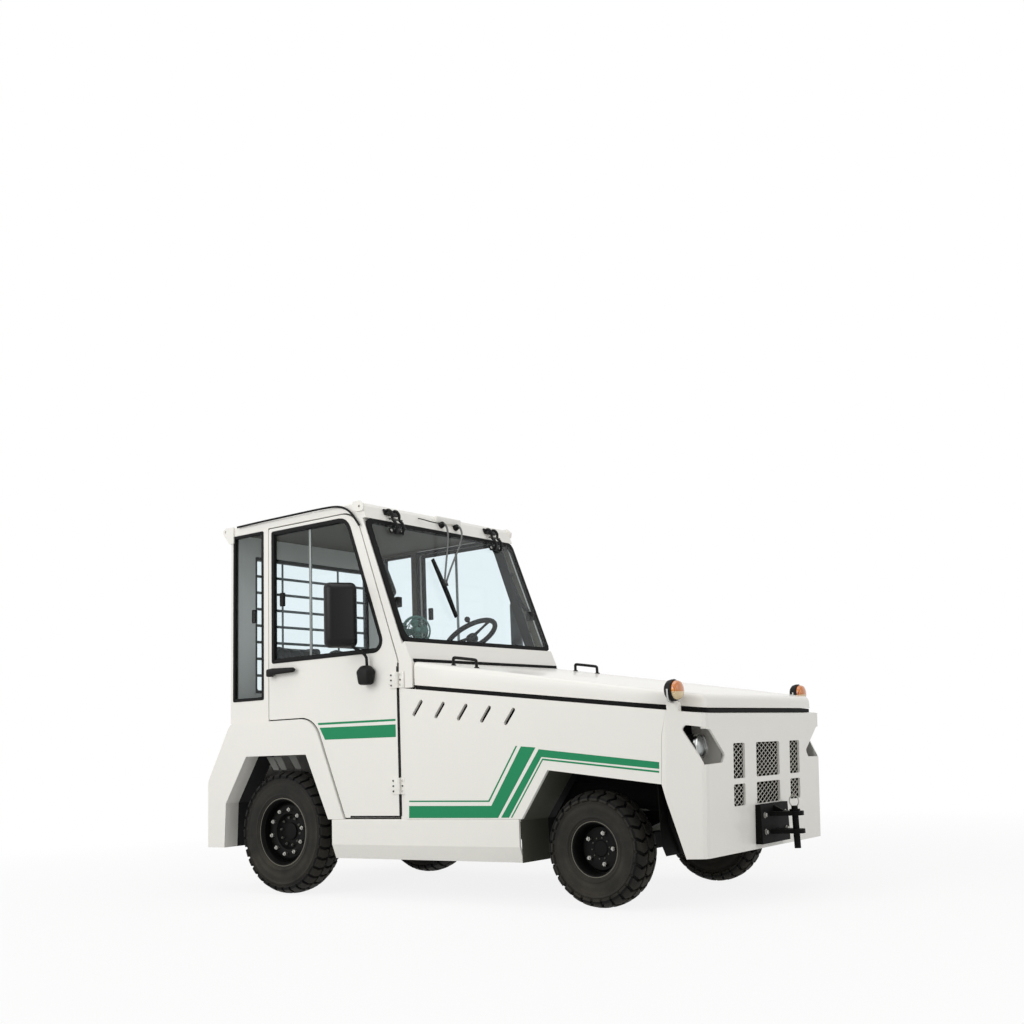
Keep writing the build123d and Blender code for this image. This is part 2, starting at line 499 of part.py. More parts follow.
# guard over the rear window: flat bars, the upright ones behind the level ones
BAR, GUARD_X = 10, CAB_REAR - 6
guard = Part()
for n in range(9):
    z = 1270 + n * 113
    guard += block(GUARD_X - 8, GUARD_X, -570, 570, z - BAR / 2, z + BAR / 2)
for n in range(5):
    y = -550 + n * 275
    guard += block(GUARD_X - 16, GUARD_X - 8, y - BAR / 2, y + BAR / 2, 1250, 2190)
for y in (-550, 550):
    for z in (1270, 2174):
        guard += block(GUARD_X, CAB_REAR, y - 20, y + 20, z - 20, z + 16)
save("rear_guard", guard)

# ---- steering wheel, column and seats ----------------------------------------------
WHEEL_CENTRE = (660, 380, 1590)
COLUMN_TILT = 58
WHEEL_R, GRIP_R, HUB_R, SHAFT_R = 185, 14, 40, 10
column_dir = (math.cos(math.radians(COLUMN_TILT)), 0, -math.sin(math.radians(COLUMN_TILT)))


def down_column(distance):
    """Point that far below the steering wheel, along its column."""
    return tuple(c + distance * d for c, d in zip(WHEEL_CENTRE, column_dir))


column = rod(down_column(330), down_column(62), 30, 10) + rod(down_column(62), down_column(20), SHAFT_R)
save("steering_column", column - block(860, 1100, -700, 700, 1150, 1420))
wheel_plane = Plane(origin=WHEEL_CENTRE, z_dir=tuple(-c for c in column_dir), x_dir=(0, 1, 0))
grip = [(GRIP_R * math.sin(math.radians(a)), WHEEL_R + GRIP_R * math.cos(math.radians(a)))
        for a in range(0, 360, 60)]
hand_wheel = Rot(90, 0, 0) * faceted_ring(grip, 18)
hand_wheel += rod((0, 0, -42), (0, 0, 6), HUB_R, 10)
hand_wheel += rod((WHEEL_R, 0, 8), (WHEEL_R, 0, 52), 18, 8)
for angle in (90, 210, 330):
    hand_wheel += Rot(0, 0, angle) * Pos(100, 0, -8) * Box(160, 26, 10)
hand_wheel -= Pos(0, 0, -60) * Cylinder(SHAFT_R + BORE_CLEAR, 90)
save("steering_wheel", wheel_plane * hand_wheel)

seat_y0, seat_y1 = -SEAT_Y - SEAT_HALF, -SEAT_Y + SEAT_HALF
cushion = side_plate([(-200, 960), (-200, 1075), (240, 1085, 40), (300, 1060, 30), (300, 960)],
                     seat_y0, seat_y1)
back_outline = [(seat_y0 + 20, 960), (seat_y0, 1200, 60), (seat_y0 + 60, 1560, 70), (seat_y1 - 60, 1560, 70),
                (seat_y1, 1200, 60), (seat_y1 - 20, 960)]
back_rest = front_plate(back_outline, -380, -190)
back_rest &= side_plate([(-310, 960), (-200, 960), (-196, 1085), (-285, 1560, 30), (-370, 1560, 30)],
                        seat_y0, seat_y1)
for side, sign in SIDES:
    save(f"seat_{side}", on_side(cushion + back_rest, sign))
save("seat_bases", pair(block(-180, 260, seat_y0 + 30, seat_y1 - 30, 880, 960)))

# ---- front mask -----------------------------------------------------------------
CREASE_R = 34
LIP_DROP = 14                   # the mask's top lip lies that far below the middle of the gap


def mask_solid(inset, z0, z1):
    """The mask's outer form, or its hollow when inset by the sheet: a plan leaning forward."""
    crease, side, edge = MASK_HALF - 0.6 * inset, HALF_WIDTH - inset, PANEL_FRONT + 3
    front = mask_x(z0) - inset
    shift = mask_x(z0) - MASK_BOTTOM[0]
    right = [(2600, -side), (edge + shift, -side), (front, -crease, CREASE_R - inset)]
    plan = right + [(x, -y, *radius) for x, y, *radius in reversed(right)]
    lean = Vector(mask_x(z1) - mask_x(z0), 0, z1 - z0)
    return drawn(plan, lambda x, y: Vector(x, y, z0), lean.length, lean)


def under_seal(drop):
    """Everything from below the ground up to the bonnet's dark gap, less a drop."""
    rear, front = seal_z(2500) - drop, seal_z(3100) - drop
    return side_plate([(2500, 0), (3100, 0), (3100, front), (2500, rear)], -900, 900)


mask = mask_solid(0, MASK_BOTTOM[1], 1100) - mask_solid(SHEET_T, 200, 1200)
mask -= side_plate([(2500, 200), (2850, 200), (2833, 260), (PANEL_FRONT + 2, 621), (2757, 858), (2790, 990),
                    (2790, 1200), (2500, 1200)], -800, 800)
lip = mask_solid(0, 900, 1100) - block(2500, 2905, -690, 690, 800, 1200)
lip -= block(2500, 2792, -900, 900, 800, 1200)
mask = (mask & under_seal(LIP_DROP)) + (lip & under_seal(LIP_DROP) - under_seal(LIP_DROP + SHEET_T))
for sign in (-1, 1):
    mask += mask_solid(0, 960, 1018) & block(2792, 2846, sign * 714, sign * 800, 900, 1100)
GRILLE_COLUMNS = ((-410, -280), (-144, 144), (280, 410))
GRILLE_ROWS = ((490, 600), (628, 806))
for y0, y1 in GRILLE_COLUMNS:
    for z0, z1 in GRILLE_ROWS:
        mask -= front_plate([(y0, z0, 9), (y1, z0, 9), (y1, z1, 9), (y0, z1, 9)], 2880, 3000)
# the lamp openings wrap the creases: one outline cuts the face, the other the corner
front_cut = front_plate([(-702, 884), (-657, 877, 24), (-502, 750, 14), (-533, 713, 14), (-702, 709)],
                        2880, 3000)
corner_cut = side_plate([(3000, 884), (2873, 905, 14), (2854, 886, 14), (2950, 709), (3000, 709)], -800, -700)
for cut in (front_cut, corner_cut):
    mask -= cut
    mask -= mirrored(cut)
save("front_mask", mask)

# grille sheet of staggered diamond holes, only where the mask is open
DIAMOND_W, DIAMOND_H, STRAND, MESH_T = 82, 62, 9, 3
mesh = front_plate([(-458, 474), (458, 474), (458, 850), (-458, 850)], 0, MESH_T)
wide, tall = DIAMOND_W / 2 - STRAND, DIAMOND_H / 2 - STRAND
diamond = front_plate([(-wide, 0), (0, -tall), (wide, 0), (0, tall)], -1, MESH_T + 1)
holes = []
for row in range(12):
    z = 500 + row * DIAMOND_H / 2
    if not any(z0 - 8 < z < z1 + 8 for z0, z1 in GRILLE_ROWS):
        continue
    for column in range(-5, 6):
        y = (column + row % 2 / 2) * DIAMOND_W
        if any(y0 - 12 < y < y1 + 12 for y0, y1 in GRILLE_COLUMNS):
            holes.append(Pos(0, y, z) * diamond)
mesh -= holes
lean = math.degrees(math.atan((MASK_TOP[0] - MASK_BOTTOM[0]) / (MASK_TOP[1] - MASK_BOTTOM[1])))
save("grille_mesh", Pos(mask_x(650) - SHEET_T - 3.5, 0, 650) * Rot(0, lean, 0) * Pos(0, 0, -650) * mesh)

LAMP_Y, LAMP_Z = 620, 800
headlamp = rod((2840, -LAMP_Y, LAMP_Z), (2890, -LAMP_Y, LAMP_Z), 62, 14)
headlamp += block(2752, 2840, -LAMP_Y - 30, -LAMP_Y + 30, LAMP_Z - 30, LAMP_Z + 30)
save("headlamps", pair(headlamp))
pocket = block(2740, 2935, -735, -480, 690, 915) - block(2752, 2950, -729, -486, 696, 909)
save("headlamp_pockets", pair(pocket & mask_solid(SHEET_T + 1, 200, 1050)))
# amber lamps on the mask's corner pads: post, then the round head
POST_X, POST_Y, POST_R = 2822, 740, 11
HEAD_R, HEAD_Y, HEAD_REAR, HEAD_FRONT = 50, 755, 2808, 2868
corner_lamp = upright(POST_X, -POST_Y, 1018, 1045, POST_R, 6)
corner_lamp += rod((HEAD_REAR, -HEAD_Y, 1078), (HEAD_FRONT, -HEAD_Y, 1078), HEAD_R, 14)
save("corner_lamps", pair(corner_lamp))

# ---- bonnet ------------------------------------------------------------------
CORNER_START, CORNER_HALF = 2600, 650   # the lid narrows from there to pass the corner lamps
LID_EDGE_R = 24


def lid_low(x):
    """Height of the lid's lower edge."""
    return seal_z(x) + SEAL_T / 2


def lid_top(x):
    """Height of the lid's top surface."""
    share = (x - LID_REAR) / (LID_FRONT - LID_REAR)
    return lid_low(x) + LID_REAR_H + share * (LID_FRONT_H - LID_REAR_H)


def lid_plan(inset):
    """Outline of the lid from above, inset, as rows of (X, Y, radius)."""
    half, cut, front = LID_HALF - inset, CORNER_HALF - 0.9 * inset, LID_FRONT - inset
    rear = LID_REAR + min(inset, LID_T)
    right = [(rear, -half), (CORNER_START, -half), (front, -cut, 30 - inset / 2)]
    return right + [(x, -y, *radius) for x, y, *radius in reversed(right)]


def lid_solid(inset):
    """The lid's outer form, or its hollow when inset by the sheet."""
    low = [(x, lid_low(x) - 4 * inset) for x in (LID_REAR, LID_FRONT)]
    high = [(x, lid_top(x) - inset) for x in (LID_FRONT, LID_REAR)]
    slab = side_plate(low + high, -LID_HALF, LID_HALF)
    solid = slab & plan_plate(lid_plan(inset), 800, 1500)
    top = max(solid.faces(), key=lambda face: face.normal_at().Z)
    edges = [e for e in top.edges() if e.center().X > LID_REAR + LID_T + 1]
    return chamfer(edges, LID_EDGE_R - 1.2 * inset) if inset else fillet(edges, LID_EDGE_R)


lid = lid_solid(0) - lid_solid(LID_T)
GRAB_REAR, GRAB_FRONT, GRAB_Y, GRAB_H, GRAB_BAR = 1330, 1500, 640, 44, 11
rear_foot, front_foot = lid_top(GRAB_REAR) - 2, lid_top(GRAB_FRONT) - 2
grab_outer = [(GRAB_REAR, rear_foot), (GRAB_REAR, rear_foot + GRAB_H, 14),
              (GRAB_FRONT, front_foot + GRAB_H, 14), (GRAB_FRONT, front_foot)]
grab_inner = [(GRAB_FRONT - GRAB_BAR, front_foot), (GRAB_FRONT - GRAB_BAR, front_foot + GRAB_H - GRAB_BAR),
              (GRAB_REAR + GRAB_BAR, rear_foot + GRAB_H - GRAB_BAR), (GRAB_REAR + GRAB_BAR, rear_foot)]
grab = side_plate(grab_outer + grab_inner, -GRAB_Y - 6, -GRAB_Y + 6)
save("bonnet_lid", lid + grab + mirrored(grab))

# rubber: a band round under the lid, open at the rear, and a strip across the cowl behind it
slab = [(x, seal_z(x) + up) for x, up in ((LID_REAR, -12), (LID_REAR, 7), (LID_FRONT, 7), (LID_FRONT, -12))]
band = side_plate(slab, -LID_HALF, LID_HALF)
hollow = plan_plate([(LID_REAR - 9, -700), (CORNER_START, -700), (LID_FRONT - 46, -606),
                     (LID_FRONT - 46, 606), (CORNER_START, 700), (LID_REAR - 9, 700)], 800, 1400)
band = (band & plan_plate(lid_plan(5), 800, 1400)) - hollow
cowl_strip = block(COWL_X - 9, COWL_X + 3, -CAB_HALF + 20, CAB_HALF - 20, 1348, 1368) - scuttle
save("bonnet_seal", Compound(children=[*band.solids(), *cowl_strip.solids()]))

# ---- hitches -------------------------------------------------------------------
PIN_R, PIN_BOTTOM, PIN_TOP = 17, 254, 470
EARS = (341, 432)               # heights of the two clevis ears
EAR_T, EAR_ROOT, EAR_TIP = 22, 62, 40
PLATE_LOW, PLATE_HIGH, PLATE_HALF = 285, 485, 170


def hitch(back, face, tip, pin_x):
    """Plate between its back edge and its face, two tapered ears and ribs, and a drop pin."""
    out = 1 if tip > face else -1
    body = side_plate([back[0], (face, PLATE_LOW), (face, PLATE_HIGH), back[1]], -PLATE_HALF, PLATE_HALF)
    for z in EARS:
        body += plan_plate([(face, -EAR_ROOT), (pin_x, -EAR_TIP), (tip, -EAR_TIP, 30), (tip, EAR_TIP, 30),
                            (pin_x, EAR_TIP), (face, EAR_ROOT)], z - EAR_T / 2, z + EAR_T / 2)
    rib = side_plate([(face, EARS[1] + 42), (face, EARS[1] + 10), (face + out * 62, EARS[1] + 10)], -10, 10)
    body += rib
    body -= upright(pin_x, 0, 280, 480, PIN_R + 1, 12)
    pin = upright(pin_x, 0, PIN_BOTTOM, PIN_TOP, PIN_R, 12)
    pin += upright(pin_x, 0, EARS[1] + EAR_T / 2, EARS[1] + EAR_T / 2 + 10, 28, 12)
    return body, pin


lean_back = [(mask_x(PLATE_LOW), PLATE_LOW), (mask_x(PLATE_HIGH), PLATE_HIGH)]
flat_back = [(FENDER_REAR, PLATE_LOW), (FENDER_REAR, PLATE_HIGH)]
front_hitch, front_pin = hitch(lean_back, face=2976, tip=3135, pin_x=3090)
rear_hitch, rear_pin = hitch(flat_back, face=FENDER_REAR - 29, tip=-859, pin_x=-815)
save("front_hitch", front_hitch)
save("rear_hitch", rear_hitch)
save("hitch_pins", Compound(children=[front_pin, rear_pin]))
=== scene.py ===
import json
import math

import bmesh
import bpy
from mathutils import Matrix, Vector

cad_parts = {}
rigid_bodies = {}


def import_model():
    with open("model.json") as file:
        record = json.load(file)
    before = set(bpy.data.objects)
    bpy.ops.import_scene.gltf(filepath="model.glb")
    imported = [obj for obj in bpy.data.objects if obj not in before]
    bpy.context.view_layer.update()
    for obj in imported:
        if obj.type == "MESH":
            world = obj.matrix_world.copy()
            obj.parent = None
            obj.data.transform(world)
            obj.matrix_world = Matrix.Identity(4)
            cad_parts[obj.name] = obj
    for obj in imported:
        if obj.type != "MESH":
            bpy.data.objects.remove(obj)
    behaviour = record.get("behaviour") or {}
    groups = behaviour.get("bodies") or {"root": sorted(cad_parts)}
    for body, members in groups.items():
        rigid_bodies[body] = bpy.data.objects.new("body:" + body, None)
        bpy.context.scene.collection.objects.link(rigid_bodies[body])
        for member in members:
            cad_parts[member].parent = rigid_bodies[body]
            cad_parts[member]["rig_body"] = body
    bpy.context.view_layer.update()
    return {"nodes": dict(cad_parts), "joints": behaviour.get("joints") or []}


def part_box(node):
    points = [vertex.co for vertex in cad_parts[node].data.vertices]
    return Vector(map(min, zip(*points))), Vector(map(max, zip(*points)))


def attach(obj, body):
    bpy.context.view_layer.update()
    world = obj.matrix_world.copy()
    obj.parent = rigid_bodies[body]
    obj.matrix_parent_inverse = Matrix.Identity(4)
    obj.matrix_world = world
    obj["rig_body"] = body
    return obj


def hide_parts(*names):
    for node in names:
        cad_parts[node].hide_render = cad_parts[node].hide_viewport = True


for leftover in list(bpy.data.objects):
    bpy.data.objects.remove(leftover)
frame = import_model()
nodes = frame["nodes"]
bpy.ops.object.select_all(action="DESELECT")


# ---- studio ----------------------------------------------------------------------
# A plain white studio: one large matt floor, an even white surround and three broad
# soft lamps, beside the vehicle's right side, above its roof and ahead of it.
class Wire:
    """One output inside a material. Arithmetic on it adds Math nodes; node() adds any other node."""

    def __init__(self, tree, socket=None):
        self.tree = tree
        self.socket = socket

    def node(self, kind, settings=None, values=None, output=0):
        made = self.tree.nodes.new("ShaderNode" + kind)
        for name, setting in (settings or {}).items():
            setattr(made, name, setting)
        for name, value in (values or {}).items():
            if isinstance(value, Wire):
                self.tree.links.new(value.socket, made.inputs[name])
            else:
                made.inputs[name].default_value = value
        return Wire(self.tree, made.outputs[output] if len(made.outputs) else None)

    def maths(self, operation, second=0.0, swapped=False):
        first, second = (second, self) if swapped else (self, second)
        return self.node("Math", {"operation": operation}, {0: first, 1: second})

    def __add__(self, other):
        return self.maths("ADD", other)

    def __radd__(self, other):
        return self.maths("ADD", other, swapped=True)

    def __sub__(self, other):
        return self.maths("SUBTRACT", other)

    def __rsub__(self, other):
        return self.maths("SUBTRACT", other, swapped=True)

    def __mul__(self, other):
        return self.maths("MULTIPLY", other)

    def __rmul__(self, other):
        return self.maths("MULTIPLY", other, swapped=True)

    def __truediv__(self, other):
        return self.maths("DIVIDE", other)

    def __rtruediv__(self, other):
        return self.maths("DIVIDE", other, swapped=True)

    def above(self, edge):
        return self.maths("GREATER_THAN", edge)

    def below(self, edge):
        return self.maths("LESS_THAN", edge)

    def larger(self, other):
        return self.maths("MAXIMUM", other)

    def clamped(self):
        return self.node("Clamp", {}, {"Value": self})

    def mixed(self, low, high):
        """Colour between low where this value is 0 and high where it is 1."""
        return self.node("Mix", {"data_type": "RGBA"}, {0: self, 6: low, 7: high}, output=2)


def rgb(text):
    """Linear colour, with alpha, from a screen colour written as six hex digits."""
    parts = [int(text[i:i + 2], 16) / 255 for i in (0, 2, 4)]
    return [p / 12.92 if p < 0.04045 else ((p + 0.055) / 1.055) ** 2.4 for p in parts] + [1.0]


def new_finish(name):
    """Empty node material; returns it with a Wire for its tree."""
    material = bpy.data.materials.new(name)
    material.use_nodes = True
    material.node_tree.nodes.clear()
    return material, Wire(material.node_tree)


def spot(wire):
    """Position on the vehicle in metres."""
    return wire.node("TexCoord", output=3)


def along(wire, axis):
    """One coordinate on the vehicle in metres: 0 ahead, 1 to the left, 2 up."""
    return wire.node("SeparateXYZ", {}, {"Vector": spot(wire)}, output=axis)


def noise(wire, scale, detail=3.0):
    """Cloudy value between 0 and 1 with that many clouds to the metre."""
    return wire.node("TexNoise", {}, {"Vector": spot(wire), "Scale": scale, "Detail": detail})


camera_data = bpy.data.cameras.new("camera")
camera_data.sensor_width = 36
camera_data.lens = 42.75
camera = bpy.data.objects.new("camera", camera_data)
camera.matrix_world = (Matrix.Translation((4.695, -6.160, 0.821))
                       @ Matrix.Rotation(math.radians(36.170), 4, "Z")
                       @ Matrix.Rotation(math.radians(90 + 11.038), 4, "X")
                       @ Matrix.Rotation(math.radians(-2.393), 4, "Z"))
bpy.context.scene.collection.objects.link(camera)
bpy.context.scene.camera = camera
bpy.context.scene.view_settings.view_transform = "Standard"

bpy.ops.mesh.primitive_circle_add(vertices=96, radius=60, fill_type="NGON", location=(0, 0, -0.002))
floor = bpy.context.object
floor.name = "studio_floor"
bpy.ops.object.transform_apply(location=True)
floor_white, wire = new_finish("floor_white")
matt = wire.node("BsdfDiffuse", {}, {"Color": rgb("D8D8D6"), "Roughness": 0.4})
glow = wire.node("Emission", {}, {"Color": (1, 1, 1, 1), "Strength": 1.0})
from_middle = wire.node("VectorMath", {"operation": "LENGTH"}, {0: spot(wire)}, output=1)
faded = ((from_middle - 2.2) / 5.0).clamped()
shown = wire.node("LightPath", output=0)
reflected = wire.node("LightPath", output=3)
seen = shown.larger(reflected) * (faded * 0.14 + 0.86)
wire.node("OutputMaterial", {}, {"Surface": wire.node("MixShader", {}, {0: seen, 1: matt, 2: glow})})
floor.data.materials.append(floor_white)

SURROUND = 0.60
world = bpy.data.worlds.new("studio_surround")
bpy.context.scene.world = world
world.use_nodes = True
world.node_tree.nodes.clear()
sky = Wire(world.node_tree)
shown = sky.node("LightPath", output=0)
glossy = sky.node("LightPath", output=3)
through = sky.node("LightPath", output=6)
white = shown.larger(glossy).larger(through) * (1.0 - SURROUND) + SURROUND
backdrop = sky.node("Background", {}, {"Color": (1, 1, 1, 1), "Strength": white})
sky.node("OutputWorld", {}, {"Surface": backdrop})


def soft_lamp(name, place, aim, size, power):
    lamp_data = bpy.data.lights.new(name, "AREA")
    lamp_data.shape = "RECTANGLE"
    lamp_data.size, lamp_data.size_y = size
    lamp_data.energy = power
    lamp = bpy.data.objects.new(name, lamp_data)
    lamp.matrix_world = (Matrix.Translation(place)
                         @ (Vector(aim) - Vector(place)).to_track_quat("-Z", "Y").to_matrix().to_4x4())
    bpy.context.scene.collection.objects.link(lamp)


soft_lamp("side_lamp", (-2.0, -7.0, 4.0), (0, 0, 1.0), (5, 4), 215)
soft_lamp("top_lamp", (0.5, -1.0, 7.5), (0.2, 0, 1.0), (5, 5), 130)
soft_lamp("front_lamp", (7.5, -1.0, 3.2), (0.5, 0, 1.2), (4, 4), 70)


# ---- painted steel ---------------------------------------------------------------
# The body is folded sheet steel sprayed with warm white enamel. Inside the cab it is
# lined with brown grey board, and under the fenders it is black with underseal.
def painted(name, colour, rough, coat, peel, dust, covered=None, shine=0.3):
    """Enamel with orange peel and dust low down; covered gives another colour where its mask is 1."""
    material, wire = new_finish(name)
    clouds = noise(wire, 1.7, 4)
    fine = noise(wire, 9.0, 5)
    low = (1.0 - along(wire, 2) / 0.9).clamped()
    film = ((clouds * 0.6 + fine * 0.4 - 0.35) * 2.2).clamped()
    dirt = (film * (0.35 + low * 0.65) * dust).clamped()
    shade = [0.62 * c for c in colour[:3]] + [1.0]
    tint = dirt.mixed(colour, shade)
    roughness = rough + fine * 0.08
    gloss = coat
    if covered:
        mask, other, other_rough = covered
        hidden = mask(wire)
        tint = hidden.mixed(tint, other)
        roughness = roughness + hidden * (other_rough - rough)
        gloss = (1.0 - hidden) * coat
    bumps = wire.node("Bump", {}, {"Strength": peel, "Distance": 0.0006, "Height": noise(wire, 420, 2)})
    shader = wire.node("BsdfPrincipled", {}, {
        "Base Color": tint, "Roughness": roughness, "Coat Weight": gloss,
        "Coat Roughness": 0.12, "Specular IOR Level": shine, "Normal": bumps})
    wire.node("OutputMaterial", {}, {"Surface": shader})
    return material


def plain(name, colour, rough, metal=0.0, grain=60, depth=0.2, vary=0.25, shine=0.3):
    """Moulded or cast surface with fine grain and uneven colour."""
    material, wire = new_finish(name)
    clouds = noise(wire, 6, 4)
    dark = [(1 - vary) * c for c in colour[:3]] + [1.0]
    light = [(1 + vary) * c for c in colour[:3]] + [1.0]
    bumps = wire.node("Bump", {}, {"Strength": depth, "Distance": 0.001, "Height": noise(wire, grain, 3)})
    shader = wire.node("BsdfPrincipled", {}, {
        "Base Color": clouds.mixed(dark, light), "Roughness": rough + clouds * 0.1, "Metallic": metal,
        "Specular IOR Level": shine, "Normal": bumps})
    wire.node("OutputMaterial", {}, {"Surface": shader})
    return material


def window_glass(name, tint):
    """Thin clear pane: mostly lets light straight through, mirrors at a glancing angle."""
    material, wire = new_finish(name)
    clear = wire.node("BsdfTransparent", {}, {"Color": tint})
    shine = wire.node("BsdfGlossy", {}, {"Color": (1, 1, 1, 1), "Roughness": 0.02})
    facing = wire.node("LayerWeight", {}, {"Blend": 0.5}, output=1)
    edge = facing.maths("POWER", 4.0) * 0.35 + 0.012
    wire.node("OutputMaterial", {}, {"Surface": wire.node("MixShader", {}, {0: edge, 1: clear, 2: shine})})
    return material


low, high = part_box("rim_rear_right")
rear_axle_x = (low.x + high.x) / 2
SCREEN_SLOPE = 0.3718
LINING = rgb("625D51")


def aside(wire):
    """Distance from the vehicle's middle plane in metres, the same on both sides."""
    return along(wire, 1).maths("ABSOLUTE")


def ahead(wire):
    """Distance ahead of the rear axle in metres."""
    return along(wire, 0) - rear_axle_x


def inside_cab(wire):
    """1 on the faces of the cab frame that look into the cab."""
    height = along(wire, 2)
    behind_screen = (ahead(wire) + (height - 2.261) * SCREEN_SLOPE).below(0.735)
    between = aside(wire).below(0.7415) * ahead(wire).above(-0.452)
    return between * height.above(0.70) * height.below(2.321) * behind_screen


def door_lining_and_lock(wire):
    """1 on a door's face that looks into the cab, and on the lock plate that stands off its skin."""
    lock = aside(wire).above(0.7585) * ahead(wire).below(0.170)
    height = along(wire, 2)
    return aside(wire).below(0.7175).larger(lock * height.above(1.30) * height.below(1.42))


def under_fender(wire):
    """1 on the inner faces of a rear fender."""
    return aside(wire).below(0.6605)


def arch_return(wire):
    """1 on the rear wall of a front wheelhouse, where a paler grey is painted light on the underseal."""
    return aside(wire).above(0.50) * ahead(wire).below(2.06)


UNDERSEAL = rgb("171817")
LIT_UNDERSEAL_GREY = rgb("4A4B42")
BLACK = rgb("0B0B0B")
white_enamel = dict(colour=rgb("E9E7E1"), rough=0.32, coat=0.35, peel=0.12, dust=0.10)

finishes = {
    "white_paint": painted("white_enamel", **white_enamel),
    "chassis_black": painted("chassis_paint", rgb("0D0D0C"), 0.55, 0.0, 0.3, 0.3, shine=0.08),
    "wheel_black": painted("wheel_paint", rgb("0A0A09"), 0.45, 0.0, 0.2, 0.3, shine=0.1),
    "wheelhouse_grey": painted("underseal_black", rgb("1D1E1D"), 0.7, 0.0, 0.6, 0.3, shine=0.15),
    "tyre": plain("tyre_rubber", rgb("2B2B29"), 0.72),
    "seal_rubber": plain("seal_rubber", rgb("0D0D0D"), 0.6, shine=0.12),
    "black_plastic": plain("black_plastic", rgb("1C1C1B"), 0.45),
    "seat_vinyl": plain("seat_vinyl", rgb("242624"), 0.55),
    "glass": window_glass("window_glass", (0.94, 0.972, 0.982, 1)),
    "engine_iron": plain("engine_iron", rgb("3A3A38"), 0.6, 0.6),
    "steel": plain("bright_steel", rgb("3A3A3A"), 0.35, 0.9),
    "grille_steel": plain("grille_steel", rgb("6A6A66"), 0.4, 0.8),
    "lamp_clear": plain("lamp_clear", rgb("B8BBBB"), 0.12, 0.3),
    "lamp_amber": plain("lamp_amber", rgb("D4661F"), 0.15),
    "lamp_red": plain("lamp_red", rgb("8C1A14"), 0.15),
}
for node in nodes.values():
    for slot in node.material_slots:
        slot.material = finishes[slot.material.name.split(".")[0]]

lined = painted("white_enamel_lined", **white_enamel, covered=(inside_cab, LINING, 0.7))
door_enamel = painted("white_enamel_door", **white_enamel, covered=(door_lining_and_lock, BLACK, 0.5))
fender_enamel = painted("white_enamel_fender", **white_enamel, covered=(under_fender, UNDERSEAL, 0.8))
# Painted light: a paler grey on the rear wall of each front wheelhouse, where light falls on it.
underseal_lit_wall = painted("underseal_rubbed", rgb("161716"), 0.7, 0.0, 0.6, 0.3,
                 covered=(arch_return, LIT_UNDERSEAL_GREY, 0.6), shine=0.1)
floor_grey = painted("cab_floor_grey", rgb("3A3C3B"), 0.7, 0.0, 0.5, 0.3)
for finish, names in ((lined, ("cab_frame", "roof")), (door_enamel, ("door_left", "door_right")),
                      (fender_enamel, ("rear_fender_left", "rear_fender_right")),
                      (underseal_lit_wall, ("front_wheelhouses",)), (floor_grey, ("cab_floor",))):
    for name in names:
        nodes[name].material_slots[0].material = finish


# ---- wheels ----------------------------------------------------------------------
# Industrial pneumatic tyres with deep moulded lugs, mounted on pressed steel disc
# rims that are painted black and held to the hubs by zinc plated nuts.
def begin(name, points):
    """Starts a piece as a single point and extrudes it through the others."""
    bpy.ops.object.select_all(action="DESELECT")
    bpy.ops.mesh.primitive_plane_add(size=0.01, location=points[0])
    piece = bpy.context.object
    piece.name = name
    bpy.ops.object.mode_set(mode="EDIT")
    bpy.ops.mesh.select_mode(type="VERT")
    bpy.ops.mesh.select_all(action="SELECT")
    bpy.ops.mesh.merge(type="CENTER")
    for before, after in zip(points, points[1:]):
        bpy.ops.mesh.extrude_region_move(TRANSFORM_OT_translate={"value": Vector(after) - Vector(before)})
    return piece


def faces_where(test):
    """Selects the faces of the piece in edit mode whose middle and normal pass a test."""
    bpy.ops.mesh.select_mode(type="FACE")
    bpy.ops.mesh.select_all(action="DESELECT")
    piece = bpy.context.object
    mesh = bmesh.from_edit_mesh(piece.data)
    mesh.normal_update()
    for face in mesh.faces:
        if test(piece.matrix_world @ face.calc_center_median(), face.normal):
            face.select_set(True)
    bmesh.update_edit_mesh(piece.data)


def lathe(name, points, centre, axis, steps):
    """Spins a line of points round an axis into a closed shell and leaves it in edit mode."""
    piece = begin(name, points)
    bpy.ops.mesh.select_all(action="SELECT")
    bpy.ops.mesh.spin(steps=steps, angle=2 * math.pi, center=centre, axis=axis)
    bpy.ops.mesh.select_all(action="SELECT")
    bpy.ops.mesh.remove_doubles(threshold=0.00002)
    bpy.ops.mesh.normals_make_consistent(inside=False)
    return piece


def shaped(piece, kind, **settings):
    """Adds a modifier and applies it at once."""
    bpy.ops.object.mode_set(mode="OBJECT")
    modifier = piece.modifiers.new(kind.lower(), kind)
    for name, setting in settings.items():
        setattr(modifier, name, setting)
    bpy.context.view_layer.objects.active = piece
    bpy.ops.object.modifier_apply(modifier=modifier.name)


def around(piece, count, centre, axis="Y"):
    """Repeats a piece evenly round an axis through a centre."""
    bpy.ops.object.mode_set(mode="OBJECT")
    bpy.ops.object.select_all(action="DESELECT")
    piece.select_set(True)
    bpy.context.view_layer.objects.active = piece
    bpy.ops.object.transform_apply(location=True, rotation=True, scale=True)
    bpy.context.scene.cursor.location = centre
    bpy.ops.object.origin_set(type="ORIGIN_CURSOR")
    marker = bpy.data.objects.new("marker", None)
    marker.location = centre
    marker.rotation_euler["XYZ".index(axis)] = 2 * math.pi / count
    bpy.context.scene.collection.objects.link(marker)
    shaped(piece, "ARRAY", count=count, use_relative_offset=False, use_object_offset=True,
           offset_object=marker)
    bpy.data.objects.remove(marker)


